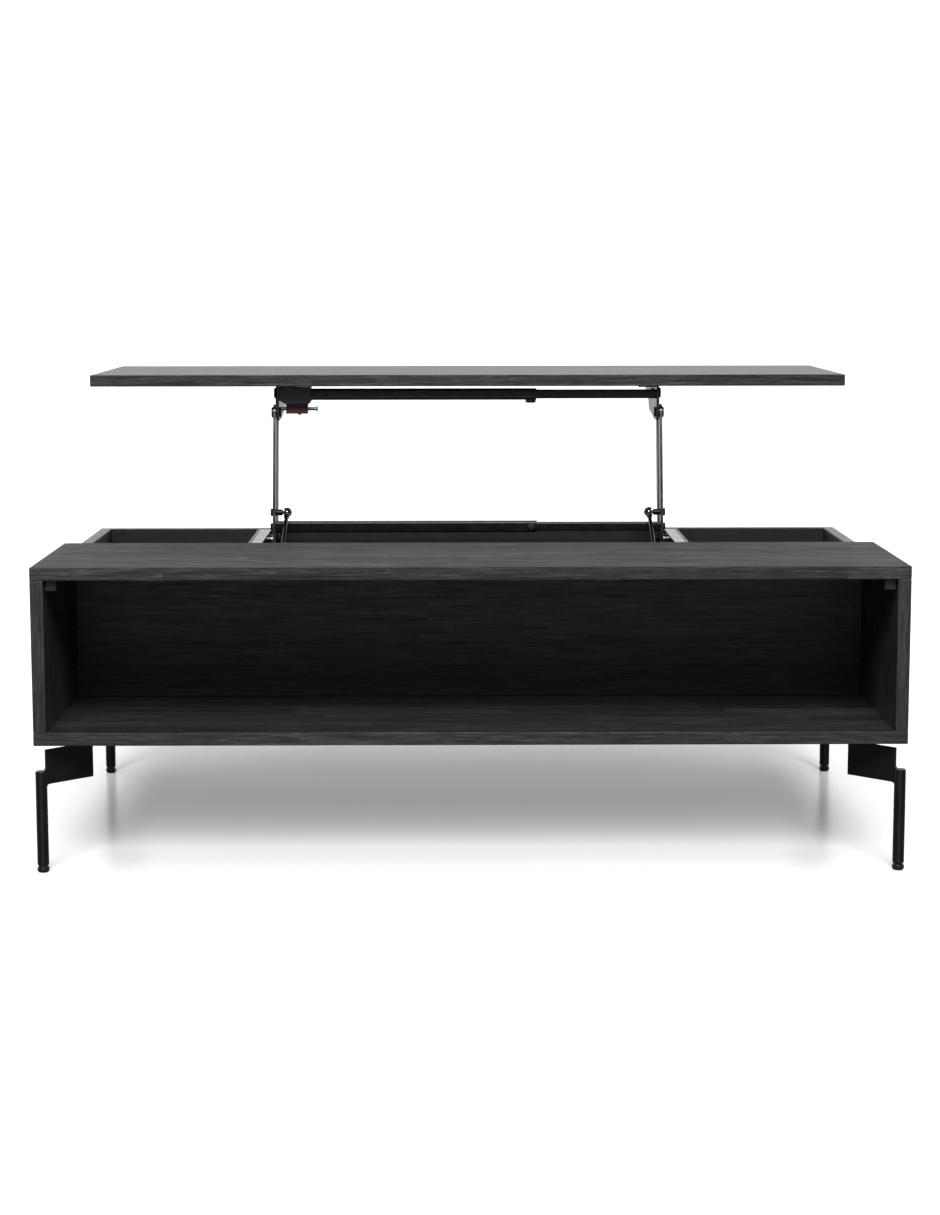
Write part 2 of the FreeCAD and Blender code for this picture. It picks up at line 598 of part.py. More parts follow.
def makeStruts():
    """Gas struts: hung on ball studs of the front arms, ending at studs of the base brackets."""
    studs = []
    anchors = []
    sockets = []
    clips = []
    lowSockets = []
    lean = FreeCAD.Rotation(Vector(1, 0, 0), math.degrees(strutAngle) + 90)
    stud = ("strutY", "strutZ")
    anchor = ("anchorY", "anchorZ")
    for name, sign in sides:
        centre = f"{sign} * ballCentre"
        face = "armInner + armThick"
        studs.append(fuse([
            across(sign, "ballCentre + collarAt", "armInner", *stud, "collarRadius"),
            across(sign, "ballCentre", "ballCentre + collarAt", *stud, "neckRadius"),
            across(sign, "armInner", face, *stud, "studShank"),
            across(sign, face, f"{face} + smallNutHigh", *stud, "smallNut", hexagon),
            ball(centre, *stud, "ballRadius")]))

        cup = across(sign, "ballCentre - cupIn", "ballCentre + cupOut", *stud, "socketRadius")
        stem = rod(centre, *stud, "socketStem", "socketNeck", lean)
        cavity = ball(centre, *stud, "ballRadius + socketClear")
        mouth = across(sign, "ballCentre", "ballCentre + cupOut", *stud, "neckRadius + mouthClear")
        sockets.append(cut(fuse([cup, stem]), fuse([cavity, mouth])))
        clip = ("ballCentre - clipAt", "ballCentre - clipAt + clipLong", *stud)
        ring = across(sign, *clip, "socketRadius + clipThick")
        clips.append(cut(ring, across(sign, *clip, "socketRadius")))

        shaft = turned([("0", "socketNeck"), ("rodRadius", "socketNeck"), ("rodRadius", "pistonStart"),
                        ("pistonRadius", "pistonStart"), ("pistonRadius", "pistonEnd"), ("0", "pistonEnd")])
        moveTo(shaft, centre, *stud, lean)
        keep(shaft, f"strut_rod_{name}")
        sleeve = turned([("rodRadius + runClear", "guideStart"), ("cylinderRadius - 1", "guideStart"),
                         ("cylinderRadius", "guideStart + 1"), ("cylinderRadius", "cylinderEnd"),
                         ("0", "cylinderEnd"), ("0", "cylinderFloor"), ("boreRadius", "cylinderFloor"),
                         ("boreRadius", "guideEnd"), ("rodRadius + runClear", "guideEnd")])
        moveTo(sleeve, centre, *stud, lean)
        keep(sleeve, f"strut_cylinder_{name}")

        lowCup = across(sign, "ballCentre - collarAt", "ballCentre + lowCupOut", *anchor, "socketRadius")
        tail = turned([("0", "cylinderEnd"), ("socketStem", "cylinderEnd"), ("socketStem", "strutLong"),
                       ("0", "strutLong")])
        moveTo(tail, centre, *stud, lean)
        lowSockets.append(fuse([lowCup, tail]))
        anchors.append(across(sign, "ballCentre + anchorStart", "basePlate", *anchor, "socketRadius"))
        anchors.append(across(sign, "basePlate", "basePlate + steel", *anchor, "shankRadius"))
    keep(fuse(studs), "arm_ball_studs")
    keep(fuse(sockets), "strut_upper_sockets")
    keep(fuse(clips), "socket_clips")
    keep(fuse(lowSockets), "strut_lower_sockets")
    keep(fuse(anchors), "strut_anchor_studs")


def tubeBolt(sign, face, thick, y, z):
    """A bolt head on the outside of a plate, its shank, and the square plug inside the tube's end."""
    plug = f"{'tubeSide' if sign < 0 else 'innerSide'} - 2 * tubeWall"
    head = across(sign, face, f"{face} + smallNutHigh", y, z, "smallNut", hexagon)
    shank = across(sign, f"{face} - {thick}", face, y, z, "studShank")
    insert = block(onSide(sign, f"{face} - {thick} - plugLong", "plugLong"), f"{y} - ({plug}) / 2",
                   f"{z} - ({plug}) / 2", "plugLong", plug, plug)
    return fuse([head, shank, insert])


def makeMechanism():
    for name, sign in sides:
        makeArm(f"front_arm_{name}", sign, lowerY, lowerZ, (sizes["tubeReach"], sizes["studReach"]))
        makeArm(f"rear_arm_{name}", sign, lowerY + sizes["pairBack"], lowerZ + sizes["pairUp"])
        makeTopBracket(name, sign)
        makeBaseBracket(name, sign)
    makePivots()
    upperTube = "(upperZ + upperTubeUp)"
    makeCrossTube("lower_cross", "crossY", "crossZ", "armInner", "lowerKnob", True)
    makeCrossTube("upper_cross", "upperY", upperTube, "plateOuter - steel", "upperKnob", False)
    makeLock()
    makeStruts()
    keep(fuse([tubeBolt(sign, "plateOuter", "steel", "upperY", upperTube) for _, sign in sides]),
         "upper_tube_bolts")
    keep(fuse([tubeBolt(sign, "armInner + armThick", "armThick", "crossY", "crossZ") for _, sign in sides]),
         "lower_tube_bolts")

    under = []
    over = []
    for _, sign in sides:
        under += [(f"{sign} * (plateOuter - flangeWide / 2)", f"upperY - bracketFront + {step}",
                   "liftUnder - steel", 1) for step in topBracketRow]
        over += [(f"{sign} * (dividerInner + rebateWide / 2)", f"baseFront + {step}", "boxTop", -1)
                 for step in baseBracketRow]
    fasteners("top_bracket_screws", under)
    fasteners("base_bracket_screws", over)


def writeParts():
    """Check every object and sub-part, then write each sub-part to its own file."""
    doc.recompute()
    faults = [item.Name for item in doc.Objects if "Invalid" in item.State or "Error" in item.State]
    for item in kept:
        if item.Shape.isNull() or not item.Shape.isValid() or item.Shape.Volume <= 0:
            faults.append(item.Label)
    if faults:
        raise RuntimeError("these are not sound: " + ", ".join(faults))
    os.makedirs("parts", exist_ok=True)
    for item in kept:
        item.Shape.exportStep(f"parts/{item.Label}.step")
        box = item.Shape.BoundBox
        print(f"{item.Label:24s} solids {len(item.Shape.Solids):2d}  x {box.XMin:8.1f} {box.XMax:8.1f}"
              f"  y {box.YMin:8.1f} {box.YMax:8.1f}  z {box.ZMin:7.1f} {box.ZMax:7.1f}")
    print(f"{len(kept)} sub-parts, arms raised at {math.degrees(raisedAngle):.3f} degrees,"
          f" sweep {math.degrees(2 * halfSweep):.3f}, strut {math.degrees(strutAngle):.3f}"
          f" long {sizes['strutLong']:.3f}")
    for name in ("upperY", "upperZ", "lowerY", "lowerZ", "strutY", "strutZ", "frontY"):
        print(name, round(sizes[name], 4))


makeBoards()
makeCarcassFittings()
makeLegs()
makeMechanism()
writeParts()
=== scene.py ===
import json
import math

import bmesh
import bpy
from mathutils import Matrix, Vector


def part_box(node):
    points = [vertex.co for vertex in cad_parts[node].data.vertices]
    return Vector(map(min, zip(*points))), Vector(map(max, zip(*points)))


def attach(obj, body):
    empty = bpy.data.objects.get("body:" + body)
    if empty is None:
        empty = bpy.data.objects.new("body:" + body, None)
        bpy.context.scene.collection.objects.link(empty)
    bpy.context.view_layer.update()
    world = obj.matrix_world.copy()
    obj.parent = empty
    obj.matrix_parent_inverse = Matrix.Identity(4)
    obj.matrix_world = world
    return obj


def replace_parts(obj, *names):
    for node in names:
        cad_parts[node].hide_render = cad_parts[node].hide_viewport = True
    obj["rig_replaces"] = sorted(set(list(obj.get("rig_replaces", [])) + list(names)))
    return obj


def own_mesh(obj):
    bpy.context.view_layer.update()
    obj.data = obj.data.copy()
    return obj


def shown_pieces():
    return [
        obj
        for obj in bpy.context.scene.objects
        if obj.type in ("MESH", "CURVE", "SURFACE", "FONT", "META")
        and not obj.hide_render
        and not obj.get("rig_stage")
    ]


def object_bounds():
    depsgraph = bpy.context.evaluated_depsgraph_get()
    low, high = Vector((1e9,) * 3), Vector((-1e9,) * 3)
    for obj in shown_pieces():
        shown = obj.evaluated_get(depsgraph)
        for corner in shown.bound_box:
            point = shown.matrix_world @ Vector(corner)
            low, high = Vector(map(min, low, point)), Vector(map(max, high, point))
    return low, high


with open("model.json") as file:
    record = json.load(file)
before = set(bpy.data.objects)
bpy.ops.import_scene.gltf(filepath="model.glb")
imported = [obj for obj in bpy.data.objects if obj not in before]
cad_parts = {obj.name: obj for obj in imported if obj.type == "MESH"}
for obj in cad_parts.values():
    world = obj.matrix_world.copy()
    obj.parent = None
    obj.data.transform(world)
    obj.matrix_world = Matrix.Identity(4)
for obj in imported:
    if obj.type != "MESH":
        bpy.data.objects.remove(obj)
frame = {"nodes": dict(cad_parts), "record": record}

cadLow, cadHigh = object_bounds()
record = frame["record"]
nodes = frame["nodes"]
bodyOf = {node: body for body, names in record["behaviour"]["bodies"].items() for node in names}
slotOf = {entry["node"]: entry["material_slot"] for entry in record["subparts"]}
jointOf = {joint["name"]: joint for joint in record["behaviour"]["joints"]}
scene = bpy.context.scene
mm = 0.001
quarter = math.pi / 2
weldGap = 1e-6                   # CAD facets meet within a micron
sharpFrom = math.radians(35)     # edges that turn further than this stay crisp
alongX, alongY, up = Vector((1, 0, 0)), Vector((0, 1, 0)), Vector((0, 0, 1))


# sRGB hex to the linear values that shaders and lights want
def colour(code):
    parts = [int(code[i:i + 2], 16) / 255 for i in (1, 3, 5)]
    return [p / 12.92 if p <= 0.04045 else ((p + 0.055) / 1.055) ** 2.4 for p in parts] + [1.0]


# settings that many nodes share
multiply, mixNumbers, mixColours = {"operation": "MULTIPLY"}, {"data_type": "FLOAT"}, {"data_type": "RGBA"}


# adds a node with its settings and links; inputs go by name or by place, such as at0
def addNode(tree, kind, settings=None, stops=(), **inputs):
    node = tree.nodes.new(kind)
    for name, value in (settings or {}).items():
        setattr(node, name, value)
    for index, (place, code) in enumerate(stops):
        elements = node.color_ramp.elements
        element = elements[index] if index < len(elements) else elements.new(place)
        element.position = place
        element.color = colour(code)
    for name, value in inputs.items():
        key = int(name[2:]) if name.startswith("at") else name.replace("_", " ")
        if isinstance(value, bpy.types.NodeSocket):
            tree.links.new(value, node.inputs[key])
        else:
            node.inputs[key].default_value = value
    return node


def newMaterial(name, code, **sockets):
    material = bpy.data.materials.new(name)
    material.use_nodes = True
    material.diffuse_color = colour(code)
    shader = material.node_tree.nodes["Principled BSDF"]
    shader.inputs["Base Color"].default_value = colour(code)
    for socket, value in sockets.items():
        shader.inputs[socket.replace("_", " ")].default_value = value
    return material, material.node_tree, shader


# camera: seated eye height, a good three metres in front
viewPoint = {"place": (-26.1, -3323.8, 820.3), "down": 7.738, "turn": -0.424, "roll": -0.058,
             "lens": 73.02, "sensor": 36, "farthest": 60}


def makeCamera():
    data = bpy.data.cameras.new("viewCamera")
    data.lens = viewPoint["lens"]
    data.sensor_width = viewPoint["sensor"]
    data.clip_end = viewPoint["farthest"]
    camera = bpy.data.objects.new("viewCamera", data)
    scene.collection.objects.link(camera)
    x, y, z = viewPoint["place"]
    turn = (Matrix.Rotation(math.radians(viewPoint["turn"]), 4, "Z")
            @ Matrix.Rotation(math.radians(90 - viewPoint["down"]), 4, "X")
            @ Matrix.Rotation(math.radians(viewPoint["roll"]), 4, "Z"))
    camera.matrix_world = Matrix.Translation((x * mm, cadLow.y + y * mm, z * mm)) @ turn
    scene.camera = camera


# white cyclorama: softboxes in front for the table, and the sweep lit on its own so that it stays white.
# The room glows from "front" to "back", is reflected up to "mirrored", and is "seen" as plain white
studio = {
    "front": 0.03, "back": 0.32, "mirrored": 1.0, "seen": 1.05, "turnsFrom": -0.4, "turnsTo": 0.7,
    "floorSize": 30, "floorPlace": (0, 4, 0), "sweep": "#f4f4f3", "sweepBounce": "#454544",
    "sweepRoughness": 0.22,
    "softboxes": (("highSoftbox", 165, (0.0, -3.0, 2.75), (3.0, 1.3), (0.0, -0.3, 0.3)),
                  ("lowSoftbox", 5, (0.0, -3.7, 2.3), (2.6, 0.9), (0.0, -0.3, 0.2)),
                  ("backSoftbox", 14, (0.0, 2.9, 2.4), (3.4, 1.4), (0.0, 0.3, 0.3)),
                  ("leftSoftbox", 34, (-3.0, 2.3, 0.95), (1.8, 1.3), (0.0, 0.2, 0.3)),
                  ("rightSoftbox", 34, (3.0, 2.3, 0.95), (1.8, 1.3), (0.0, 0.2, 0.3))),
    # power, then height and spread in degrees
    "sweepLights": (("frontSweepLight", 5.2, 35, 34), ("topSweepLight", 2.1, 84, 60)),
}


def makeStudio():
    world = bpy.data.worlds.new("studio")
    world.use_nodes = True
    tree = world.node_tree
    background = tree.nodes["Background"]
    direction = addNode(tree, "ShaderNodeTexCoord").outputs["Generated"]
    depth = addNode(tree, "ShaderNodeSeparateXYZ", Vector=direction).outputs["Y"]
    ray = addNode(tree, "ShaderNodeLightPath").outputs
    glow, gloss = (addNode(tree, "ShaderNodeMapRange", Value=depth, From_Min=studio["turnsFrom"],
                           From_Max=studio["turnsTo"], To_Min=studio["front"],
                           To_Max=studio[most]).outputs["Result"] for most in ("back", "mirrored"))
    lit = addNode(tree, "ShaderNodeMix", mixNumbers, at0=ray["Is Glossy Ray"], at2=glow,
                  at3=gloss)
    seen = addNode(tree, "ShaderNodeMix", mixNumbers, at0=ray["Is Camera Ray"],
                   at2=lit.outputs[0], at3=studio["seen"])
    background.inputs["Color"].default_value = (1, 1, 1, 1)
    tree.links.new(seen.outputs[0], background.inputs["Strength"])
    scene.world = world
    scene.view_settings.view_transform = "Standard"
    bpy.ops.mesh.primitive_plane_add(size=studio["floorSize"], location=studio["floorPlace"])
    floor = bpy.context.object
    floor.name = "studioFloor"
    # glazed white board: glossy, so slim legs leave soft streaks in it; it throws back little light
    material, tree, shader = newMaterial("glazedWhiteBoard", studio["sweep"],
                                         Roughness=studio["sweepRoughness"])
    direct = addNode(tree, "ShaderNodeLightPath").outputs["Is Camera Ray"]
    board = addNode(tree, "ShaderNodeMix", mixColours, at0=direct,
                    at6=colour(studio["sweepBounce"]), at7=colour(studio["sweep"]))
    tree.links.new(board.outputs[2], shader.inputs["Base Color"])
    floor.data.materials.append(material)
    floor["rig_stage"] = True
    sweepOnly, allButSweep = (bpy.data.collections.new(name) for name in ("sweepOnly", "allButSweep"))
    for group in (sweepOnly, allButSweep):
        group.objects.link(floor)
    allButSweep.collection_objects[0].light_linking.link_state = "EXCLUDE"

    def addLight(name, kind, receivers, settings):
        data = bpy.data.lights.new(name, kind)
        for key, value in settings.items():
            setattr(data, key, value)
        light = bpy.data.objects.new(name, data)
        scene.collection.objects.link(light)
        light.light_linking.receiver_collection = receivers
        return light

    for name, power, place, (size, sizeY), aim in studio["softboxes"]:
        light = addLight(name, "AREA", allButSweep, {"shape": "RECTANGLE", "size": size, "size_y": sizeY,
                                                     "energy": power})
        light.location = place
        light.rotation_euler = (Vector(aim) - Vector(place)).to_track_quat("-Z", "Y").to_euler()
    for name, power, height, spread in studio["sweepLights"]:
        light = addLight(name, "SUN", sweepOnly, {"energy": power, "angle": math.radians(spread)})
        light.rotation_euler = (math.radians(90 - height), 0, 0)


makeCamera()
makeStudio()
print("camera and studio ready")


# stained acacia: finger-jointed staves, wire-brushed, stained charcoal and lacquered. The brushed
# early wood is darker and duller, the hard late wood stands up paler, and each stave has its own tone.
# Real pores are about 0.3 mm wide and a few millimetres long, and real glue lines about 0.1 mm: both are
# drawn coarser than that, so that they show
acacia = {
    "staveWidth": 34, "staveLength": 310, "rowOffset": 7.3, "cutOffset": 3.0,
    # width and length in millimetres, then noise detail and bend
    "streak": (2.4, 90, 5.0, 0.7), "pore": (1.2, 30, 2.0, 0.15), "wave": (9, 110, 2.0, 1.2),
    "grainRoughness": 0.62, "poreShare": 0.55, "waveShare": 0.22,
    "dark": "#1b1b1b", "mid": "#353534", "light": "#5e5d59", "stainSpread": 0.13,
    "staveTone": (0.74, 1.26), "poreRange": (0.54, 0.63), "poreTone": (1.12, 0.42),
    "joint": 0.6, "jointDepth": 0.5, "glue": "#141413",
    "rubbed": "#6f6d64", "patchesPerMetre": 55.0, "patchRange": (0.45, 0.7), "rubbedMost": 0.5,
    "grainRange": (0.36, 0.64), "grainGloss": (0.12, -0.3), "lowAngle": (0.86, 0.97), "glance": 0.4,
    "bump": 0.7,
}


# turn lays the grain along a board, shift starts it elsewhere in the pattern, relief is in millimetres. The
# tint darkens the whole stain of a board, and white leaves it as it is: painted shade for boards that stand
# in the niche and the bays
def stainedAcacia(name, turn, shift, roughness, shadeTint="#ffffff", contrast=1.0, relief=0.5, index=1.45):
    material, tree, shader = newMaterial(name, acacia["mid"], IOR=index)
    place = addNode(tree, "ShaderNodeTexCoord").outputs["Object"]
    flat = addNode(tree, "ShaderNodeMapping", Vector=place, Rotation=turn,
                   Location=(shift, shift, shift)).outputs[0]
    axes = addNode(tree, "ShaderNodeSeparateXYZ", Vector=flat)
    arithmetic, vector = "ShaderNodeMath", "ShaderNodeVectorMath"

    # which stave: rows of staves, each row shifted by its own amount
    across = addNode(tree, arithmetic, {"operation": "DIVIDE"}, at0=axes.outputs["Y"],
                     at1=acacia["staveWidth"] * mm)
    row = addNode(tree, arithmetic, {"operation": "FLOOR"}, at0=across.outputs[0]).outputs[0]
    rowShift = addNode(tree, "ShaderNodeTexWhiteNoise", {"noise_dimensions": "1D"}, W=row).outputs["Value"]
    along = addNode(tree, arithmetic, {"operation": "DIVIDE"}, at0=axes.outputs["X"],
                    at1=acacia["staveLength"] * mm)
    shifted = addNode(tree, arithmetic, {"operation": "MULTIPLY_ADD"}, at0=rowShift, at1=acacia["rowOffset"],
                      at2=along.outputs[0])
    piece = addNode(tree, arithmetic, {"operation": "FLOOR"}, at0=shifted.outputs[0]).outputs[0]
    cell = addNode(tree, "ShaderNodeCombineXYZ", X=piece, Y=row).outputs[0]
    stave = addNode(tree, "ShaderNodeTexWhiteNoise", {"noise_dimensions": "2D"}, Vector=cell)
    cutFrom = addNode(tree, vector, {"operation": "MULTIPLY_ADD"}, at0=stave.outputs["Color"],
                      at1=[acacia["cutOffset"]] * 3, at2=flat).outputs[0]

    # streaks, pores and slow waves, each a noise stretched along the grain
    fields = []
    for width, length, detail, bend in (acacia["streak"], acacia["pore"], acacia["wave"]):
        stretched = addNode(tree, vector, multiply, at0=cutFrom,
                            at1=(1 / (length * mm), 1 / (width * mm), 1 / (width * mm))).outputs[0]
        fields.append(addNode(tree, "ShaderNodeTexNoise", Vector=stretched, Scale=1.0, Detail=detail,
                              Roughness=acacia["grainRoughness"], Distortion=bend).outputs["Fac"])
    streaks, pores, waves = fields
    fine = addNode(tree, "ShaderNodeMix", mixNumbers, at0=acacia["poreShare"], at2=streaks,
                   at3=pores).outputs[0]
    figure = addNode(tree, "ShaderNodeMix", mixNumbers, at0=acacia["waveShare"], at2=fine,
                     at3=waves).outputs[0]
    spread = acacia["stainSpread"] / contrast
    stain = addNode(tree, "ShaderNodeValToRGB", Fac=figure, stops=(
        (0.5 - spread, acacia["dark"]), (0.5 + spread, acacia["light"]), (0.5, acacia["mid"])))
    tone = addNode(tree, "ShaderNodeMapRange", Value=stave.outputs["Value"],
                   To_Min=acacia["staveTone"][0], To_Max=acacia["staveTone"][1]).outputs["Result"]
    flecks = addNode(tree, "ShaderNodeMapRange", Value=pores, From_Min=acacia["poreRange"][0],
                     From_Max=acacia["poreRange"][1], To_Min=acacia["poreTone"][0],
                     To_Max=acacia["poreTone"][1]).outputs[0]
    depth = addNode(tree, arithmetic, multiply, at0=tone, at1=flecks).outputs[0]
    toned = addNode(tree, vector, {"operation": "SCALE"}, at0=stain.outputs["Color"],
                    Scale=depth).outputs[0]
    # the board's tint darkens the stain as a whole: painted shade where the board stands out of the light
    shadeTinted = addNode(tree, vector, multiply, at0=toned,
                     at1=colour(shadeTint)[:3]).outputs[0]

    # glue lines between rows and at finger joints: within half a joint of a whole number of staves
    glueLines = []
    for count, span in ((across, acacia["staveWidth"]), (shifted, acacia["staveLength"])):
        away = addNode(tree, arithmetic, {"operation": "PINGPONG"}, at0=count.outputs[0], at1=0.5).outputs[0]
        glueLines.append(addNode(tree, arithmetic, {"operation": "LESS_THAN"}, at0=away,
                                 at1=acacia["joint"] / span / 2).outputs[0])
    lines = addNode(tree, arithmetic, {"operation": "MAXIMUM"}, at0=glueLines[0], at1=glueLines[1]).outputs[0]
    seam = addNode(tree, arithmetic, multiply, at0=lines, at1=acacia["jointDepth"]).outputs[0]
    jointed = addNode(tree, "ShaderNodeMix", mixColours, at0=seam, at6=shadeTinted,
                      at7=colour(acacia["glue"])).outputs["Result"]

    # handling rubs the rounded edges paler, in patches
    wear = addNode(tree, "ShaderNodeAttribute", {"attribute_name": "edgeWear"}).outputs["Fac"]
    patch = addNode(tree, "ShaderNodeTexNoise", Vector=place, Scale=acacia["patchesPerMetre"], Detail=4.0,
                    Roughness=0.7).outputs["Fac"]
    worn = addNode(tree, "ShaderNodeMapRange", Value=patch, From_Min=acacia["patchRange"][0],
                   From_Max=acacia["patchRange"][1], To_Min=0.0, To_Max=acacia["rubbedMost"]).outputs[0]
    rubbed = addNode(tree, arithmetic, multiply, at0=worn, at1=wear).outputs[0]
    final = addNode(tree, "ShaderNodeMix", mixColours, at0=rubbed, at6=jointed,
                    at7=colour(acacia["rubbed"])).outputs["Result"]
    tree.links.new(final, shader.inputs["Base Color"])
    # brushed grain is dull from above and turns glossy only at a very low angle
    sheen = addNode(tree, "ShaderNodeMapRange", Value=figure, From_Min=acacia["grainRange"][0],
                    From_Max=acacia["grainRange"][1], To_Min=roughness + acacia["grainGloss"][0],
                    To_Max=roughness + acacia["grainGloss"][1]).outputs["Result"]
    low = addNode(tree, "ShaderNodeLayerWeight", Blend=0.5).outputs["Facing"]
    glance = addNode(tree, "ShaderNodeMapRange", Value=low, From_Min=acacia["lowAngle"][0],
                     From_Max=acacia["lowAngle"][1], To_Min=1.0, To_Max=acacia["glance"]).outputs[0]
    dulled = addNode(tree, arithmetic, multiply, at0=sheen, at1=glance).outputs[0]
    tree.links.new(dulled, shader.inputs["Roughness"])
    raised = addNode(tree, arithmetic, {"operation": "SUBTRACT"}, at0=figure, at1=seam).outputs[0]
    bump = addNode(tree, "ShaderNodeBump", Strength=acacia["bump"], Distance=relief * mm, Height=raised)
    tree.links.new(bump.outputs["Normal"], shader.inputs["Normal"])
    return material


# the tops are brushed deepest: their open grain mirrors little, so their index is set low
topBoards = stainedAcacia("stainedAcaciaTop", (0, 0, 0), shift=0.0, roughness=0.84, contrast=0.9, relief=1.2,
                          index=1.26)
# the shelf, upright, niche panel and bay boards are the same stain darkened by their tints: painted shade,
# light on the shelf and the uprights, deepest on the niche back and in the bays. The bays' tint is also
# browner, like their inner faces
lyingBoard = stainedAcacia("stainedAcaciaShelf", (0, 0, 0), shift=0.21, roughness=0.6, shadeTint="#d0d0d0",
                           contrast=1.5)
frontPanels = stainedAcacia("stainedAcaciaPanel", (quarter, 0, 0), shift=0.31, roughness=0.55,
                            shadeTint="#8f8f8f", contrast=1.1)
uprights = stainedAcacia("stainedAcaciaUpright", (0, quarter, 0), shift=0.13, roughness=0.52,
                         shadeTint="#e0e0e0", contrast=1.3)
bayBoards = stainedAcacia("stainedAcaciaBay", (quarter, 0, 0), shift=0.55, roughness=0.6, shadeTint="#887c70")


# steels and mouldings: a fine texture over soft clouds of tone, and edges that handling has worn
surfaces = {"cloudsPerMetre": 38.0, "textureShare": 0.4, "toneRange": (0.38, 0.66), "bump": 0.5,
            "sheenRange": (0.35, 0.65), "sheen": (-0.06, 0.08), "edgeReach": 0.7, "edgeTurn": (0.995, 0.9),
            "wornRange": (0.5, 0.72), "wornMost": 0.85}


# a worn-edge mask: 1 where the surface turns within the reach of a rounded edge
def edgeMask(tree):
    bevel = addNode(tree, "ShaderNodeBevel", {"samples": 4}, Radius=surfaces["edgeReach"] * mm).outputs[0]
    normal = addNode(tree, "ShaderNodeNewGeometry").outputs["Normal"]
    same = addNode(tree, "ShaderNodeVectorMath", {"operation": "DOT_PRODUCT"}, at0=bevel, at1=normal)
    return addNode(tree, "ShaderNodeMapRange", Value=same.outputs["Value"], From_Min=surfaces["edgeTurn"][0],
                   From_Max=surfaces["edgeTurn"][1], To_Min=0.0, To_Max=1.0).outputs["Result"]


# grain is the spacing of the surface's own texture in millimetres, relief its depth. Real orange peel,
# plating crystals and moulded stipple are 0.05 to 0.5 mm apart, and are drawn as coarse as they need to show
def finish(name, base, pale, rough, grain, relief, worn=None, **sockets):
    material, tree, shader = newMaterial(name, base, **sockets)
    place = addNode(tree, "ShaderNodeTexCoord").outputs["Object"]
    texture = addNode(tree, "ShaderNodeTexNoise", Vector=place, Scale=1 / (grain * mm),
                      Detail=2.0).outputs["Fac"]
    cloud = addNode(tree, "ShaderNodeTexNoise", Vector=place, Scale=surfaces["cloudsPerMetre"], Detail=5.0,
                    Roughness=0.65).outputs["Fac"]
    blend = addNode(tree, "ShaderNodeMix", mixNumbers, at0=surfaces["textureShare"], at2=cloud,
                    at3=texture).outputs[0]
    shade = addNode(tree, "ShaderNodeValToRGB", Fac=blend,
                    stops=zip(surfaces["toneRange"], (base, pale))).outputs["Color"]
    if worn:
        patch = addNode(tree, "ShaderNodeMapRange", Value=cloud, From_Min=surfaces["wornRange"][0],
                        From_Max=surfaces["wornRange"][1], To_Min=0.0, To_Max=surfaces["wornMost"])
        mask = addNode(tree, "ShaderNodeMath", multiply, at0=edgeMask(tree),
                       at1=patch.outputs["Result"]).outputs[0]
        shade = addNode(tree, "ShaderNodeMix", mixColours, at0=mask, at6=shade,
                        at7=colour(worn)).outputs["Result"]
    tree.links.new(shade, shader.inputs["Base Color"])
    sheen = addNode(tree, "ShaderNodeMapRange", Value=blend, From_Min=surfaces["sheenRange"][0],
                    From_Max=surfaces["sheenRange"][1], To_Min=rough + surfaces["sheen"][0],
                    To_Max=rough + surfaces["sheen"][1]).outputs["Result"]
    tree.links.new(sheen, shader.inputs["Roughness"])
    bump = addNode(tree, "ShaderNodeBump", Strength=surfaces["bump"], Distance=relief * mm, Height=texture)
    tree.links.new(bump.outputs["Normal"], shader.inputs["Normal"])
    return material


# powder-coated steel: fused powder, satin black with an orange peel that breaks up its reflections
powderCoat = finish("powderCoatedSteel", "#0b0b0c", "#121213", rough=0.4, grain=1.6,
                    relief=0.012, worn="#3a3a39", IOR=1.45)
# electro-coated steel: a thin dipped film, glossier, so it mirrors the room at low angles
dippedBlack = finish("electroCoatedSteel", "#101011", "#191919", rough=0.15, grain=3.0,
                     relief=0.003, worn="#5f5f62", IOR=1.6)
# drawn tube under the same film, with the duller skin of drawing
tubeBlack = finish("electroCoatedTube", "#0c0c0d", "#131314", rough=0.3, grain=3.0,
                   relief=0.004, worn="#4a4a4c", IOR=1.5)
# black oxide on forged bolts: dull blue-black, oiled
blackOxide = finish("blackOxideSteel", "#1d1d1f", "#2b2b2d", rough=0.34, grain=0.8,
                    relief=0.02, worn="#8b8b8d", Metallic=0.75)
# barrel-plated zinc: bluish grey with soft mottling
zincPlate = finish("zincPlatedSteel", "#8d9094", "#b6b8b9", rough=0.3, grain=0.9, relief=0.02, Metallic=1.0)
# polished steel ball under a film of grease
polishedBall = finish("polishedBallSteel", "#c9cacb", "#dcdcdc", rough=0.14, grain=0.6,
                      relief=0.002, Metallic=1.0)
# black nitrided rod: ground, then salt bath, almost a mirror
nitridedRod = finish("nitridedRod", "#161618", "#202022", rough=0.16, grain=0.5, relief=0.004, Metallic=0.6)
# spark-textured nylon mouldings: soft sheen over a fine stipple
blackNylon = finish("mouldedNylonBlack", "#131313", "#1e1e1d", rough=0.44, grain=0.7, relief=0.04, IOR=1.53)
redNylon = finish("mouldedNylonRed", "#3d0709", "#560c0f", rough=0.4, grain=0.7, relief=0.04, IOR=1.53)
# clear PVC bumpers: soft and slightly hazy
clearPad = finish("softPvcPad", "#7c7c79", "#9a9a96", rough=0.35, grain=1.2,
                  relief=0.03, IOR=1.52, Transmission_Weight=0.35)
finishes = {"charcoal_wood": topBoards, "black_steel": dippedBlack, "zinc_steel": zincPlate,
            "dark_rod": nitridedRod, "black_plastic": blackNylon, "red_plastic": redNylon,
            "grey_rubber": clearPad}
print("materials ready")


# closes poles and seams, and points every face outwards
def toMesh(bm, name):
    bmesh.ops.remove_doubles(bm, verts=bm.verts, dist=weldGap / 10)
    bmesh.ops.recalc_face_normals(bm, faces=bm.faces)
    mesh = bpy.data.meshes.new(name)
    bm.to_mesh(mesh)
    bm.free()
    return mesh


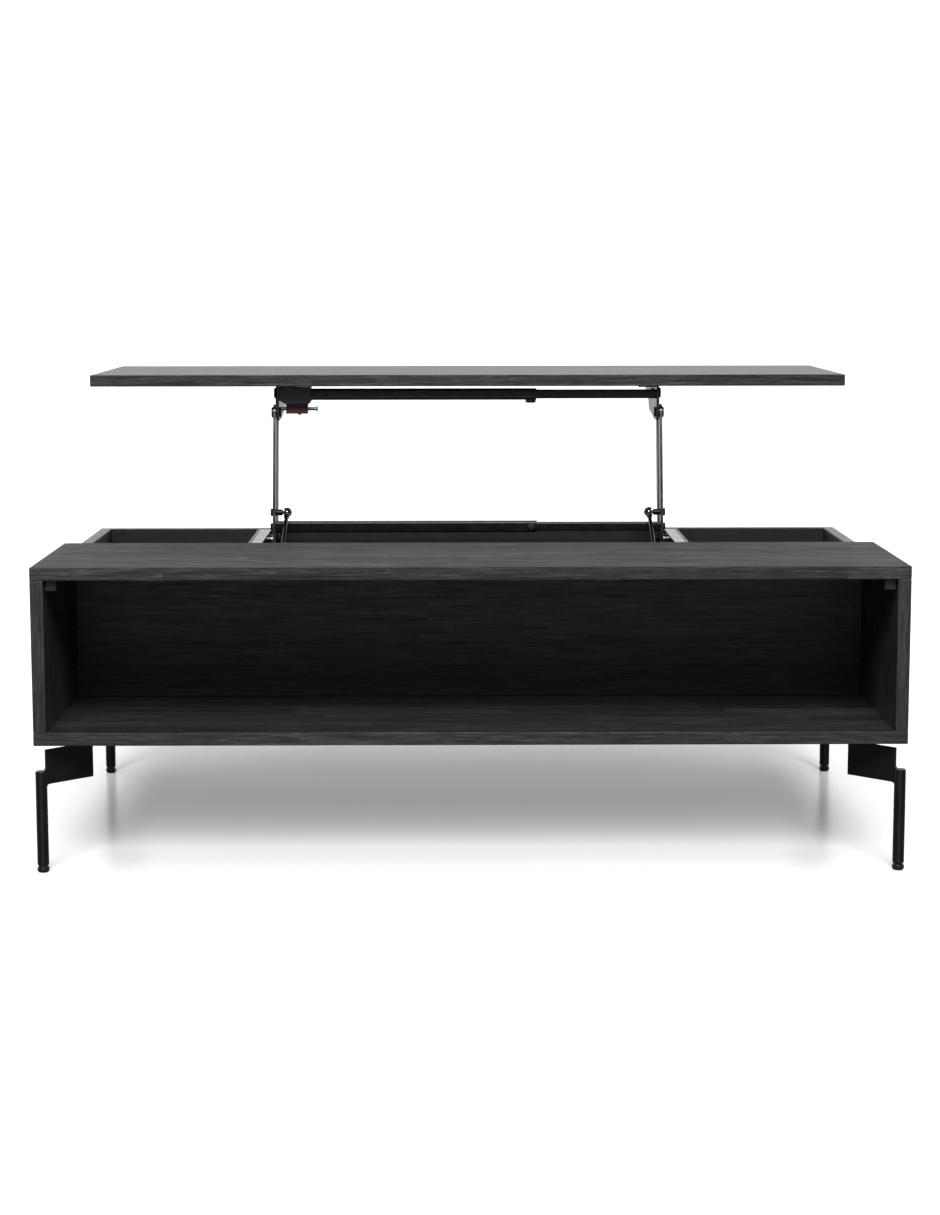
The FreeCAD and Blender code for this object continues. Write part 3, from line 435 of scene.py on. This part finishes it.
# a finished shape becomes a piece that rides on the body of the CAD node it stands for
def finishPiece(shape, name, node, material=None):
    mesh = shape if isinstance(shape, bpy.types.Mesh) else toMesh(shape, name)
    piece = bpy.data.objects.new(name, mesh)
    scene.collection.objects.link(piece)
    mesh.materials.clear()
    mesh.materials.append(material or finishes[slotOf[node]])
    mesh.shade_smooth()
    mesh.set_sharp_from_angle(angle=sharpFrom)
    # normals weighted by area keep the flats beside rounded edges flat
    weighted = piece.modifiers.new("weightedNormals", "WEIGHTED_NORMAL")
    weighted.keep_sharp = True
    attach(piece, bodyOf[node])
    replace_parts(piece, node)
    return piece


# the separate solids of a CAD node, as lowest and highest corners from left to right
def solidsOf(node):
    bm = bmesh.new()
    bm.from_mesh(nodes[node].data)
    bmesh.ops.remove_doubles(bm, verts=bm.verts, dist=weldGap)
    seen = set()
    boxes = []
    for start in bm.verts:
        if start in seen:
            continue
        seen.add(start)
        stack, group = [start], []
        while stack:
            vert = stack.pop()
            group.append(vert.co.copy())
            for linked in vert.link_edges:
                other = linked.other_vert(vert)
                if other not in seen:
                    seen.add(other)
                    stack.append(other)
        boxes.append((Vector([min(p[i] for p in group) for i in range(3)]),
                      Vector([max(p[i] for p in group) for i in range(3)])))
    bm.free()
    return sorted(boxes, key=lambda box: tuple(box[0]))


gripFlutes = {"count": 12, "depth": 0.03}


# turns an outline of (radius, height) points in millimetres about an axis. A third item makes that ring
# a hexagon ("hex") or gives it grip flutes ("flute")
def addTurned(bm, outline, origin, axis, steps=48):
    side = axis.orthogonal().normalized()
    other = axis.cross(side)
    sixth = math.pi / 3
    rings = []
    for radius, height, *form in outline:
        middle = origin + axis * (height * mm)
        if radius <= 0:
            rings.append([bm.verts.new(middle)])
            continue
        ring = []
        for k in range(steps):
            angle = 2 * math.pi * k / steps
            reach = radius
            if form == ["hex"]:
                reach = radius * math.cos(sixth / 2) / math.cos(angle % sixth - sixth / 2)
            elif form == ["flute"]:
                wave = gripFlutes["depth"] * math.cos(gripFlutes["count"] * angle)
                reach = radius * (1 - gripFlutes["depth"] + wave)
            outwards = side * math.cos(angle) + other * math.sin(angle)
            ring.append(bm.verts.new(middle + outwards * (reach * mm)))
        rings.append(ring)
    loop = outline[0][0] > 0 and outline[-1][0] > 0
    for first, second in list(zip(rings, rings[1:])) + ([(rings[-1], rings[0])] if loop else []):
        for k in range(steps):
            corners = [first[k % len(first)], first[(k + 1) % steps % len(first)],
                       second[(k + 1) % steps % len(second)], second[k % len(second)]]
            unique = list(dict.fromkeys(corners))
            if len(unique) > 2:
                bm.faces.new(unique)


# quarter-round points from (radius, height) towards the axis, for the shoulder of an outline
def rounded(radius, height, fillet, way=1, steps=4):
    return [(radius - fillet + fillet * math.cos(a), height + way * (fillet * math.sin(a) - fillet))
            for a in (quarter * k / steps for k in range(steps + 1))]


# boards: sawn to size, edges rounded over; faces above broadFrom square metres are the flat ones
boardLook = {"edgeRadius": 1.2, "roundSteps": 3, "wearReach": 5.0, "broadFrom": 0.001}


def makeBoard(node, material):
    low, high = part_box(node)
    bm = bmesh.new()
    bmesh.ops.create_cube(bm, size=1)
    for vert in bm.verts:
        vert.co = Vector([low[i] + (vert.co[i] + 0.5) * (high[i] - low[i]) for i in range(3)])
    bmesh.ops.bevel(bm, geom=bm.edges[:], offset=boardLook["edgeRadius"] * mm, affect="EDGES",
                    segments=boardLook["roundSteps"], profile=0.5, clamp_overlap=True)
    broad = [face for face in bm.faces if face.calc_area() > boardLook["broadFrom"]]
    outer = set(bm.verts)
    bmesh.ops.inset_individual(bm, faces=broad, thickness=boardLook["wearReach"] * mm)
    layer = bm.verts.layers.float.new("edgeWear")
    for vert in bm.verts:
        vert[layer] = 1.0 if vert in outer else 0.0
    finishPiece(bm, node + "Board", node, material)


for node, wood in (("fixed_top", topBoards), ("lift_top", topBoards), ("bottom_board", lyingBoard),
                   ("niche_back_panel", frontPanels), ("rear_panel", bayBoards),
                   ("side_panel_left", uprights), ("side_panel_right", uprights)):
    makeBoard(node, wood)
print("boards made")


# widths of broken edges in millimetres, and in degrees what counts as flat and as sharp
edgeBreaks = {"divider": 0.7, "leg": 0.5, "bracket": 0.4, "arm": 0.5, "carrier": 0.8, "block": 2.0,
              "insert": 0.2, "housing": 0.9, "flatWithin": 0.5, "sharpFrom": 30}


# a copy of a CAD shape with its sharp edges broken, as deburred steel, sawn or moulded parts have
def softened(node, width, material=None, steps=2):
    bm = bmesh.new()
    bm.from_mesh(nodes[node].data)
    bmesh.ops.remove_doubles(bm, verts=bm.verts, dist=weldGap)
    bmesh.ops.dissolve_limit(bm, angle_limit=math.radians(edgeBreaks["flatWithin"]), verts=bm.verts,
                             edges=bm.edges)
    crisp = math.radians(edgeBreaks["sharpFrom"])
    sharp = [edge for edge in bm.edges if edge.is_manifold and edge.calc_face_angle(0) > crisp]
    bmesh.ops.bevel(bm, geom=sharp, offset=width * mm, affect="EDGES", segments=steps, profile=0.5,
                    clamp_overlap=True)
    finishPiece(bm, node + "Finished", node, material)


for side in ("left", "right"):
    softened(f"divider_{side}", edgeBreaks["divider"], uprights)
    softened(f"top_bracket_{side}", edgeBreaks["bracket"])
    softened(f"base_bracket_{side}", edgeBreaks["bracket"])
    softened(f"front_arm_{side}", edgeBreaks["arm"], steps=3)
    softened(f"rear_arm_{side}", edgeBreaks["arm"], steps=3)
    for end in ("front", "rear"):
        softened(f"leg_{end}_{side}", edgeBreaks["leg"], powderCoat, steps=3)
softened("corner_blocks", edgeBreaks["block"], steps=4)
softened("lock_carrier", edgeBreaks["carrier"], steps=3)
softened("lock_housing", edgeBreaks["housing"], steps=3)
softened("leg_inserts", edgeBreaks["insert"])
print("dividers, brackets, arms, legs and lock made")


# one turned shape for each solid of a node, along X from its inner end outwards. The outline is a list
# of points, or a function that makes it from the length of the solid
def turnSolids(node, name, outline, material=None):
    bm = bmesh.new()
    for low, high in solidsOf(node):
        right = low.x > 0
        start = (low + high) / 2
        start.x = low.x if right else high.x
        points = outline((high.x - low.x) / mm) if callable(outline) else outline
        addTurned(bm, points, start, alongX if right else -alongX)
    finishPiece(bm, name, node, material)


# pivots: low round heads, thin chamfered nuts, plated spacers
pivots = {"head": 8.5, "headHigh": 2.8, "nutHigh": 3.0, "shank": 4.0, "edge": 1.3, "bush": 8.0,
          "spacerFrom": 6.0, "spacerTo": 8.1, "dimple": 2.6, "dimpleDeep": 1.1, "chamfer": 0.5,
          "nutChamfer": 1.2}


def lowerBolt(length):
    head, nut, shank, c = pivots["head"], pivots["nutHigh"], pivots["shank"], pivots["chamfer"]
    rim, deep = pivots["dimple"], pivots["dimpleDeep"]
    return ([(0, deep), (rim - c, deep), (rim, 0)] + rounded(head, 0, pivots["edge"], -1)[::-1]
            + [(head, nut), (shank, nut), (shank, length - c), (shank - c, length), (0, length)])


def upperBolt(length):
    head, shank, c, bushing = pivots["head"], pivots["shank"], pivots["chamfer"], pivots["bush"]
    seat, first, last = length - pivots["headHigh"], pivots["spacerFrom"], pivots["spacerTo"]
    rim, floor = pivots["dimple"], length - pivots["dimpleDeep"]
    return ([(0, 0), (shank - c, 0), (shank, c), (shank, first), (bushing, first), (bushing, last),
             (shank, last), (shank, seat), (head, seat)] + rounded(head, length, pivots["edge"])
            + [(rim, length), (rim - c, floor), (0, floor)])


def thinNut(length):
    head, shank, c, face = pivots["head"], pivots["shank"], pivots["chamfer"], pivots["nutChamfer"]
    return [(shank, 0), (head - face, 0), (head, c + 0.1, "hex"), (head, length - c, "hex"),
            (head - face, length), (shank, length)]


def bush(length):
    r, c, shank = pivots["bush"], pivots["chamfer"], pivots["shank"]
    return [(shank, 0), (r - c, 0), (r, c), (r, length - c), (r - c, length), (shank, length)]


turnSolids("lower_pivot_bolts", "lowerPivotBolts", lowerBolt, blackOxide)
turnSolids("upper_pivot_bolts", "upperPivotBolts", upperBolt, blackOxide)
turnSolids("upper_pivot_nuts", "upperPivotNuts", thinNut, blackOxide)
turnSolids("lower_pivot_bushes", "pivotBushes", bush)
print("pivots made")


# rectangular bar or tube along X with rounded corners and eased ends; a wall makes it a tube
def addBar(bm, low, high, corner, wall=0.0, ease=0.3, steps=5):
    def section(inset, x):
        r = max(corner - inset, ease) * mm
        ring = []
        for cy, cz, first in ((1, 1, 0), (-1, 1, 1), (-1, -1, 2), (1, -1, 3)):
            for k in range(steps + 1):
                angle = quarter * (first + k / steps)
                y = (high.y if cy > 0 else low.y) - cy * (inset * mm + r) + r * math.cos(angle)
                z = (high.z if cz > 0 else low.z) - cz * (inset * mm + r) + r * math.sin(angle)
                ring.append(bm.verts.new((x, y, z)))
        return ring

    ends = [section(ease, low.x), section(0, low.x + ease * mm), section(0, high.x - ease * mm),
            section(ease, high.x)]
    if wall:
        ends += [section(wall, high.x), section(wall, low.x)]
    count = len(ends[0])
    for first, second in list(zip(ends, ends[1:])) + ([(ends[-1], ends[0])] if wall else []):
        for k in range(count):
            bm.faces.new((first[k], first[(k + 1) % count], second[(k + 1) % count], second[k]))
    if not wall:
        bm.faces.new(ends[0])
        bm.faces.new(ends[-1])


# cross tubes: drawn square tube with soft corners, one sliding in the other
tubeLook = {"wall": 1.5, "outerCorner": 3.4, "innerCorner": 2.4}
for prefix in ("upper_cross_tube", "lower_cross_tube"):
    for part in ("outer", "inner"):
        low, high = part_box(f"{prefix}_{part}")
        bm = bmesh.new()
        addBar(bm, Vector(low), Vector(high), tubeLook[part + "Corner"], tubeLook["wall"])
        finishPiece(bm, f"{prefix}_{part}Drawn", f"{prefix}_{part}", tubeBlack)

# bolts into the tube ends: flanged hexagon heads and square plugs, the wider one in the outer tube
tubeBolts = {"outerPlug": 15, "innerPlug": 11, "plugPlay": 0.05, "plugLong": 14.0, "plugCorner": 0.8,
             "head": 6.4, "headHigh": 4.0, "flangeHigh": 1.0, "shank": 3.0, "upperPlate": 3, "lowerPlate": 4}


def makeTubeBolts(node, plateThick):
    bm = bmesh.new()
    for low, high in solidsOf(node):
        right = low.x > 0
        sideways = alongX if right else -alongX
        start = (low + high) / 2
        start.x = low.x if right else high.x
        half = (tubeBolts["innerPlug" if right else "outerPlug"] / 2 - tubeBolts["plugPlay"]) * mm
        far = start + sideways * (tubeBolts["plugLong"] * mm)
        plugLow = Vector((min(start.x, far.x), start.y - half, start.z - half))
        plugHigh = Vector((max(start.x, far.x), start.y + half, start.z + half))
        addBar(bm, plugLow, plugHigh, tubeBolts["plugCorner"])
        r, shank, inside = tubeBolts["head"], tubeBolts["shank"], tubeBolts["plugLong"] - 0.5
        seat = tubeBolts["plugLong"] + plateThick
        top, flange = seat + tubeBolts["headHigh"], seat + tubeBolts["flangeHigh"]
        addTurned(bm, [(0, inside), (shank, inside), (shank, seat), (r, seat), (r, flange - 0.4),
                       (r - 0.5, flange), (r - 0.6, flange + 0.1, "hex"), (r - 0.6, top - 0.5, "hex"),
                       (r - 1.5, top), (2.2, top), (1.8, top - 0.5), (0, top - 0.5)], start, sideways)
    finishPiece(bm, node + "Hex", node, blackOxide)


makeTubeBolts("upper_tube_bolts", tubeBolts["upperPlate"])
makeTubeBolts("lower_tube_bolts", tubeBolts["lowerPlate"])
print("cross tubes made")


# knurled clamp screws of the telescoping tubes
clampLook = {"stem": 1.9, "knobHigh": 5.0, "crown": 2.0, "upperKnob": 8.5, "lowerKnob": 6.0, "steps": 96}


def makeClamp(node, radius, axis):
    low, high = (Vector(corner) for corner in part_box(node))
    start = (low + high) / 2
    depth = max(abs((high - low).dot(axis)) / mm, clampLook["knobHigh"])
    start -= axis * (depth / 2 * mm)
    seat = depth - clampLook["knobHigh"]
    bm = bmesh.new()
    addTurned(bm, [(0, 0), (clampLook["stem"], 0), (clampLook["stem"], seat), (radius - 0.6, seat),
                   (radius, seat + 0.5, "flute"), (radius, depth - clampLook["crown"], "flute")]
              + rounded(radius - 0.3, depth, clampLook["crown"])[1:]
              + [(2.6, depth), (2.2, depth - 1.0), (0, depth - 1.0)], start, axis, clampLook["steps"])
    finishPiece(bm, node + "Knob", node)


makeClamp("upper_cross_clamp_screw", clampLook["upperKnob"], -up)
makeClamp("lower_cross_clamp_screw", clampLook["lowerKnob"], -alongY)

# pull pin: ground steel with a flanged grip and the collar that its spring pushes on
pinLook = {"radius": 2.75, "collarAt": 18.5, "collarLong": 2.5, "collar": 4.6, "grooveAt": 55.0,
           "grooveDeep": 0.35, "headAt": 63.0, "head": 4.75}
low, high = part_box("lock_pin")
bm = bmesh.new()
r, collar, head = pinLook["radius"], pinLook["collar"], pinLook["head"]
groove, flange, end = pinLook["grooveAt"], pinLook["headAt"], (high[0] - low[0]) / mm
first, last = pinLook["collarAt"], pinLook["collarAt"] + pinLook["collarLong"]
bottom = r - pinLook["grooveDeep"]
addTurned(bm, [(0, 0), (r - 0.7, 0), (r, 0.8), (r, first), (collar, first), (collar, last), (r, last),
               (r, groove - 1), (bottom, groove - 0.4), (bottom, groove + 0.4), (r, groove + 1),
               (r, flange - 0.8), (r + 0.5, flange), (head - 0.3, flange), (head, flange + 0.4),
               (head, end - 0.4), (head - 0.4, end), (0, end)],
          Vector((low[0], (low[1] + high[1]) / 2, (low[2] + high[2]) / 2)), alongX)
finishPiece(bm, "pullPin", "lock_pin")
print("clamps and pull pin made")


# gas struts, turned along their own axis; lengths count from the ball centre down to the base
strutLine = Vector(jointOf["strut_stroke"]["axis"]).normalized()
if strutLine.z > 0:
    strutLine = -strutLine
strutLook = {"ballAt": 290, "ball": 5.0, "rod": 3.0, "rodFrom": 14, "piston": 6.7, "pistonFrom": 147,
             "pistonTo": 153, "cylinder": 8.0, "bore": 6.8, "wall": 2.5, "rodHole": 3.1, "from": 137.0,
             "to": 272.0}


def strutTop(sign):
    x, y, z = jointOf["strut_swing"]["pos_m"]
    return Vector((sign * strutLook["ballAt"] * mm, y, z))


for side, sign in (("left", -1), ("right", 1)):
    # rod with a small lock nut under its socket, and its piston
    bm = bmesh.new()
    r, first, last = strutLook["rod"], strutLook["pistonFrom"], strutLook["pistonTo"]
    start, nut, piston = strutLook["rodFrom"], strutLook["rod"] + 1.3, strutLook["piston"]
    addTurned(bm, [(0, start), (r, start), (r, 14.6), (nut, 14.8, "hex"), (nut, 17.4, "hex"), (r, 17.8),
                   (r, first), (piston, first), (piston, last), (0, last)], strutTop(sign), strutLine)
    finishPiece(bm, f"strutRod_{side}", f"strut_rod_{side}")
    # cylinder with a rolled guide end, a bead behind it and a spun base
    bm = bmesh.new()
    r, first, last = strutLook["cylinder"], strutLook["from"], strutLook["to"]
    hole, bore, base = strutLook["rodHole"], strutLook["bore"], strutLook["to"] - strutLook["wall"]
    addTurned(bm, [(hole, first), (5.2, first)] + rounded(7.1, first, 0.6, -1)[::-1]
              + [(7.1, first + 0.9), (r, first + 1.8), (r, first + 8), (r - 0.35, first + 8.6),
                 (r - 0.35, first + 9.6), (r, first + 10.2), (r, last - 3.5)] + rounded(r, last, 3.0)
              + [(0, last), (0, base), (bore, base), (bore, first + 8), (hole, first + 8)],
              strutTop(sign), strutLine)
    finishPiece(bm, f"strutCylinder_{side}", f"strut_cylinder_{side}", powderCoat)

# ball studs on the arms: waisted neck, collar against the arm, nut outside, and a polished ball
armStud = [(0, 9.2), (2.6, 9.2), (2.6, 11.4), (4.4, 12), (4.9, 12.5), (4.9, 22.6), (4.5, 23), (3, 23),
           (3, 27), (6.3, 27), (6.4, 27.3, "hex"), (6.4, 30.5, "hex"), (5.2, 31), (2.6, 31), (2.2, 30.4),
           (0, 30.4)]
armBall = [(strutLook["ball"] * math.sin(angle), strutLook["ball"] * (1 - math.cos(angle)))
           for angle in (math.pi * k / 20 for k in range(21))]
turnSolids("arm_ball_studs", "armBallStuds", armStud, blackOxide)
turnSolids("arm_ball_studs", "armBalls", armBall, polishedBall)

# sockets: a sprung C round each ball, open towards the arm, on a stem down the strut's line
socketLook = {"inner": 5.25, "outer": 6.9, "gap": 48, "width": 8.0, "stem": 3.9, "clip": (7.0, 7.8, 1.4),
              "lowAt": 283, "lowRadius": 7.0, "lowEdge": 1.5}


def addC(bm, centre, sign, inner, outer, width, steps=44):
    gap = math.radians(socketLook["gap"])
    flank = 0.5 + 0.4 / width    # the middle of each side stands 0.4 mm proud
    section = [(inner, -0.5), (inner, 0.5), (inner + 0.4, flank), (outer - 0.6, flank), (outer, 0.4),
               (outer, -0.4), (outer - 0.6, -flank), (inner + 0.4, -flank)]
    rings = []
    for k in range(steps + 1):
        angle = gap + (2 * math.pi - 2 * gap) * k / steps
        away = alongX * (sign * math.cos(angle)) + up * math.sin(angle)
        rings.append([bm.verts.new(centre + away * (r * mm) + alongY * (y * width * mm)) for r, y in section])
    for first, second in zip(rings, rings[1:]):
        for k in range(len(first)):
            other = (k + 1) % len(first)
            bm.faces.new((first[k], first[other], second[other], second[k]))
    bm.faces.new(rings[0])
    bm.faces.new(rings[-1])


def makeSockets():
    bm = bmesh.new()
    for sign in (-1, 1):
        addC(bm, strutTop(sign), sign, socketLook["inner"], socketLook["outer"], socketLook["width"])
        r = socketLook["stem"]
        addTurned(bm, [(0, 6.2), (r + 0.8, 6.2), (r + 0.8, 11.5), (r, 12.4), (r, 14), (0, 14)],
                  strutTop(sign), strutLine)
    finishPiece(bm, "ballSockets", "strut_upper_sockets")
    bm = bmesh.new()
    for sign in (-1, 1):
        addC(bm, strutTop(sign), sign, *socketLook["clip"])
    finishPiece(bm, "socketRings", "socket_clips")


# the lower sockets end beside their anchor studs: a cap across the strut, and the cylinder's end stem
def makeLowSockets():
    low, high = solidsOf("strut_anchor_studs")[0]
    r, base = socketLook["lowRadius"], strutLook["to"]
    bm = bmesh.new()
    for sign in (-1, 1):
        start = Vector((sign * socketLook["lowAt"] * mm, (low.y + high.y) / 2, (low.z + high.z) / 2))
        addTurned(bm, [(0, 0)] + rounded(r, 0, socketLook["lowEdge"], -1)[::-1]
                  + [(r, 14), (r - 0.5, 14.5), (0, 14.5)], start, alongX * sign)
        addTurned(bm, [(0, base), (4.4, base), (4.4, base + 9.5), (0, base + 12)], strutTop(sign), strutLine)
    finishPiece(bm, "lowSockets", "strut_lower_sockets")


makeSockets()
makeLowSockets()
anchorStud = [(0, 0), (6.4, 0), (7, 0.6), (7, 4), (6, 4.6), (6, 19.5), (7, 20), (7, 22), (4, 22), (4, 24.6),
              (3.6, 25), (0, 25)]
turnSolids("strut_anchor_studs", "anchorStuds", anchorStud)
print("gas struts made")


# levelling feet: moulded glide on a threaded stem, with a turning groove under the leg
footLook = {"sole": 6.5, "rim": 8.3, "glideHigh": 9.0, "stem": 4.0, "long": 35.0}
for end in ("front", "rear"):
    for side in ("left", "right"):
        low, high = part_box(f"foot_{end}_{side}")
        bm = bmesh.new()
        r, sole, glide = footLook["rim"], footLook["sole"], footLook["glideHigh"]
        stem, long = footLook["stem"], footLook["long"]
        addTurned(bm, [(0, 0), (sole - 0.5, 0), (sole, 0.3), (r - 0.4, 2.2), (r, 2.7), (r, 6.2),
                       (r - 0.3, 6.8), (r - 1.1, 7.1), (r - 1.3, 7.6), (r - 1.3, 8.3), (r - 1.5, glide),
                       (stem, glide), (stem, long - 0.6), (stem - 0.6, long), (0, long)],
                  Vector(((low[0] + high[0]) / 2, (low[1] + high[1]) / 2, 0)), up)
        finishPiece(bm, f"foot_{end}_{side}Glide", f"foot_{end}_{side}")

# bumper pads: low clear domes
padLook = {"outline": [(0, 0), (4.5, 0), (4.4, 0.12), (4.0, 0.22), (3.0, 0.29), (0, 0.3)], "steps": 24}
bm = bmesh.new()
for low, high in solidsOf("bumper_pads"):
    start = (low + high) / 2
    start.z = low.z
    addTurned(bm, padLook["outline"], start, up, padLook["steps"])
finishPiece(bm, "bumperDomes", "bumper_pads")
print("feet and pads made")


# runs a node group on a mesh, keeps the result as a plain mesh
def applyTree(tree, mesh, name, settings):
    carrier = bpy.data.objects.new(name + "Source", mesh)
    scene.collection.objects.link(carrier)
    modifier = carrier.modifiers.new("build", "NODES")
    modifier.node_group = tree
    sockets = {item.name: item.identifier for item in tree.interface.items_tree if item.in_out == "INPUT"}
    for key, value in settings.items():
        modifier[sockets[key]] = value
    bpy.context.view_layer.update()
    result = bpy.data.meshes.new_from_object(carrier.evaluated_get(bpy.context.evaluated_depsgraph_get()))
    carrier.modifiers.remove(modifier)
    bpy.data.objects.remove(carrier)
    result.name = name
    return result


def newTree(name, sockets):
    tree = bpy.data.node_groups.new(name, "GeometryNodeTree")
    for label, kind in sockets:
        tree.interface.new_socket(name=label, in_out="INPUT", socket_type="NodeSocket" + kind)
    tree.interface.new_socket(name="Result", in_out="OUTPUT", socket_type="NodeSocketGeometry")
    return tree, addNode(tree, "NodeGroupInput").outputs


# head radius, head height, shank radius, and whether the heads look up
screwSets = {"corner_block_screws": (3.6, 2.0, 1.8, 0), "panel_screws": (4.5, 1.0, 2.5, 0),
             "leg_screws": (4.2, 2.4, 2.0, 0), "top_bracket_screws": (4.0, 2.0, 2.0, 0),
             "base_bracket_screws": (3.5, 0.5, 1.8, 1)}
# shares of the head radius, facets, and the seed of the first set's turns
screwLook = {"crown": 0.7, "slotLong": 1.05, "slotWide": 0.24, "headFacets": 32, "shankFacets": 16,
             "firstSeed": 3}


# cross-recess screws, one on each point of a mesh, each turned its own way
def makeScrewTree():
    tree, given = newTree("crossRecessScrews", (
        ("Points", "Geometry"), ("Head Radius", "Float"), ("Head Height", "Float"), ("Shank Radius", "Float"),
        ("Shank Length", "Float"), ("Heads Up", "Float"), ("Seed", "Int"), ("Finish", "Material")))
    headDown, crown, slotLong, slotWide, halfShank, flip = (
        addNode(tree, "ShaderNodeMath", multiply, at0=given[size], at1=share).outputs[0]
        for size, share in (("Head Height", -1.0), ("Head Radius", screwLook["crown"]),
                            ("Head Radius", screwLook["slotLong"]), ("Head Radius", screwLook["slotWide"]),
                            ("Shank Length", 0.5), ("Heads Up", math.pi)))
    outside = addNode(tree, "ShaderNodeCombineXYZ", Z=headDown).outputs[0]
    head = addNode(tree, "GeometryNodeMeshCone", Vertices=screwLook["headFacets"], Radius_Bottom=crown,
                   Radius_Top=given["Head Radius"], Depth=given["Head Height"]).outputs[0]
    lowered = addNode(tree, "GeometryNodeTransform", Geometry=head, Translation=outside).outputs[0]
    # two crossed blades on the outer face cut the recess
    size = addNode(tree, "ShaderNodeCombineXYZ", X=slotLong, Y=slotWide, Z=given["Head Height"]).outputs[0]
    blade = addNode(tree, "GeometryNodeMeshCube", Size=size).outputs[0]
    first = addNode(tree, "GeometryNodeTransform", Geometry=blade, Translation=outside).outputs[0]
    second = addNode(tree, "GeometryNodeTransform", Geometry=first, Rotation=(0, 0, quarter)).outputs[0]
    recess = addNode(tree, "GeometryNodeMeshBoolean", {"operation": "DIFFERENCE", "solver": "EXACT"},
                     at0=lowered)
    tree.links.new(first, recess.inputs[1])
    tree.links.new(second, recess.inputs[1])
    shank = addNode(tree, "GeometryNodeMeshCylinder", Vertices=screwLook["shankFacets"],
                    Radius=given["Shank Radius"], Depth=given["Shank Length"]).outputs[0]
    sunk = addNode(tree, "GeometryNodeTransform", Geometry=shank,
                   Translation=addNode(tree, "ShaderNodeCombineXYZ", Z=halfShank).outputs[0]).outputs[0]
    screw = addNode(tree, "GeometryNodeJoinGeometry")
    tree.links.new(recess.outputs[0], screw.inputs[0])
    tree.links.new(sunk, screw.inputs[0])
    turn = addNode(tree, "FunctionNodeRandomValue", {"data_type": "FLOAT"}, Seed=given["Seed"],
                   at3=2 * math.pi)
    facing = addNode(tree, "ShaderNodeCombineXYZ", X=flip, Z=turn.outputs[1]).outputs[0]
    placed = addNode(tree, "GeometryNodeInstanceOnPoints", Points=given["Points"], Instance=screw.outputs[0],
                     Rotation=facing).outputs[0]
    plain = addNode(tree, "GeometryNodeRealizeInstances", Geometry=placed).outputs[0]
    finished = addNode(tree, "GeometryNodeSetMaterial", Geometry=plain, Material=given["Finish"]).outputs[0]
    addNode(tree, "NodeGroupOutput", Result=finished)
    return tree


screwTree = makeScrewTree()
for seed, (node, sizes) in enumerate(screwSets.items(), start=screwLook["firstSeed"]):
    head, headHigh, shank, headsUp = sizes
    seats = []
    for low, high in solidsOf(node):
        middle = (low + high) / 2
        seats.append((middle.x, middle.y, high.z - headHigh * mm if headsUp else low.z + headHigh * mm))
        length = (high.z - low.z) / mm - headHigh
    points = bpy.data.meshes.new(node + "Seats")
    points.from_pydata(seats, [], [])
    result = applyTree(screwTree, points, node + "Driven", {
        "Head Radius": head * mm, "Head Height": headHigh * mm, "Shank Radius": shank * mm,
        "Shank Length": length * mm, "Heads Up": float(headsUp), "Seed": seed, "Finish": blackOxide})
    finishPiece(result, node + "Driven", node, blackOxide if node != "panel_screws" else zincPlate)
print("screws made")


# lock spring: round wire wound along X between the collar and the end of the housing
springLook = {"turns": 7.5, "radius": 4.6, "wire": 0.55, "stepsPerTurn": 24, "wireFacets": 10}


def makeSpringTree():
    tree, given = newTree("woundSpring", (
        ("Source", "Geometry"), ("Turns", "Float"), ("Radius", "Float"), ("Length", "Float"),
        ("Wire Radius", "Float"), ("Finish", "Material")))
    coil = addNode(tree, "GeometryNodeCurveSpiral", Resolution=springLook["stepsPerTurn"],
                   Rotations=given["Turns"], Start_Radius=given["Radius"], End_Radius=given["Radius"],
                   Height=given["Length"]).outputs[0]
    section = addNode(tree, "GeometryNodeCurvePrimitiveCircle", Resolution=springLook["wireFacets"],
                      Radius=given["Wire Radius"]).outputs[0]
    wire = addNode(tree, "GeometryNodeCurveToMesh", Curve=coil, Profile_Curve=section,
                   Fill_Caps=True).outputs[0]
    plain = addNode(tree, "GeometryNodeRealizeInstances", Geometry=wire).outputs[0]
    finished = addNode(tree, "GeometryNodeSetMaterial", Geometry=plain, Material=given["Finish"]).outputs[0]
    addNode(tree, "NodeGroupOutput", Result=finished)
    return tree


low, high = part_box("lock_spring")
wire = springLook["wire"]
coil = applyTree(makeSpringTree(), bpy.data.meshes.new("springSeed"), "lockSpringWire", {
    "Turns": springLook["turns"], "Radius": springLook["radius"] * mm, "Wire Radius": wire * mm,
    "Length": high[0] - low[0] - 2 * wire * mm, "Finish": zincPlate})
coil.transform(Matrix.Translation((low[0] + wire * mm, (low[1] + high[1]) / 2, (low[2] + high[2]) / 2))
               @ Matrix.Rotation(quarter, 4, "Y"))
spring = finishPiece(coil, "lockSpringWire", "lock_spring")
spring.modifiers.clear()
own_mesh(spring)
print("spring made")

replaced = {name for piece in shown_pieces() for name in piece.get("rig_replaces", [])}
print("CAD nodes without a piece:", sorted(set(nodes) - replaced))
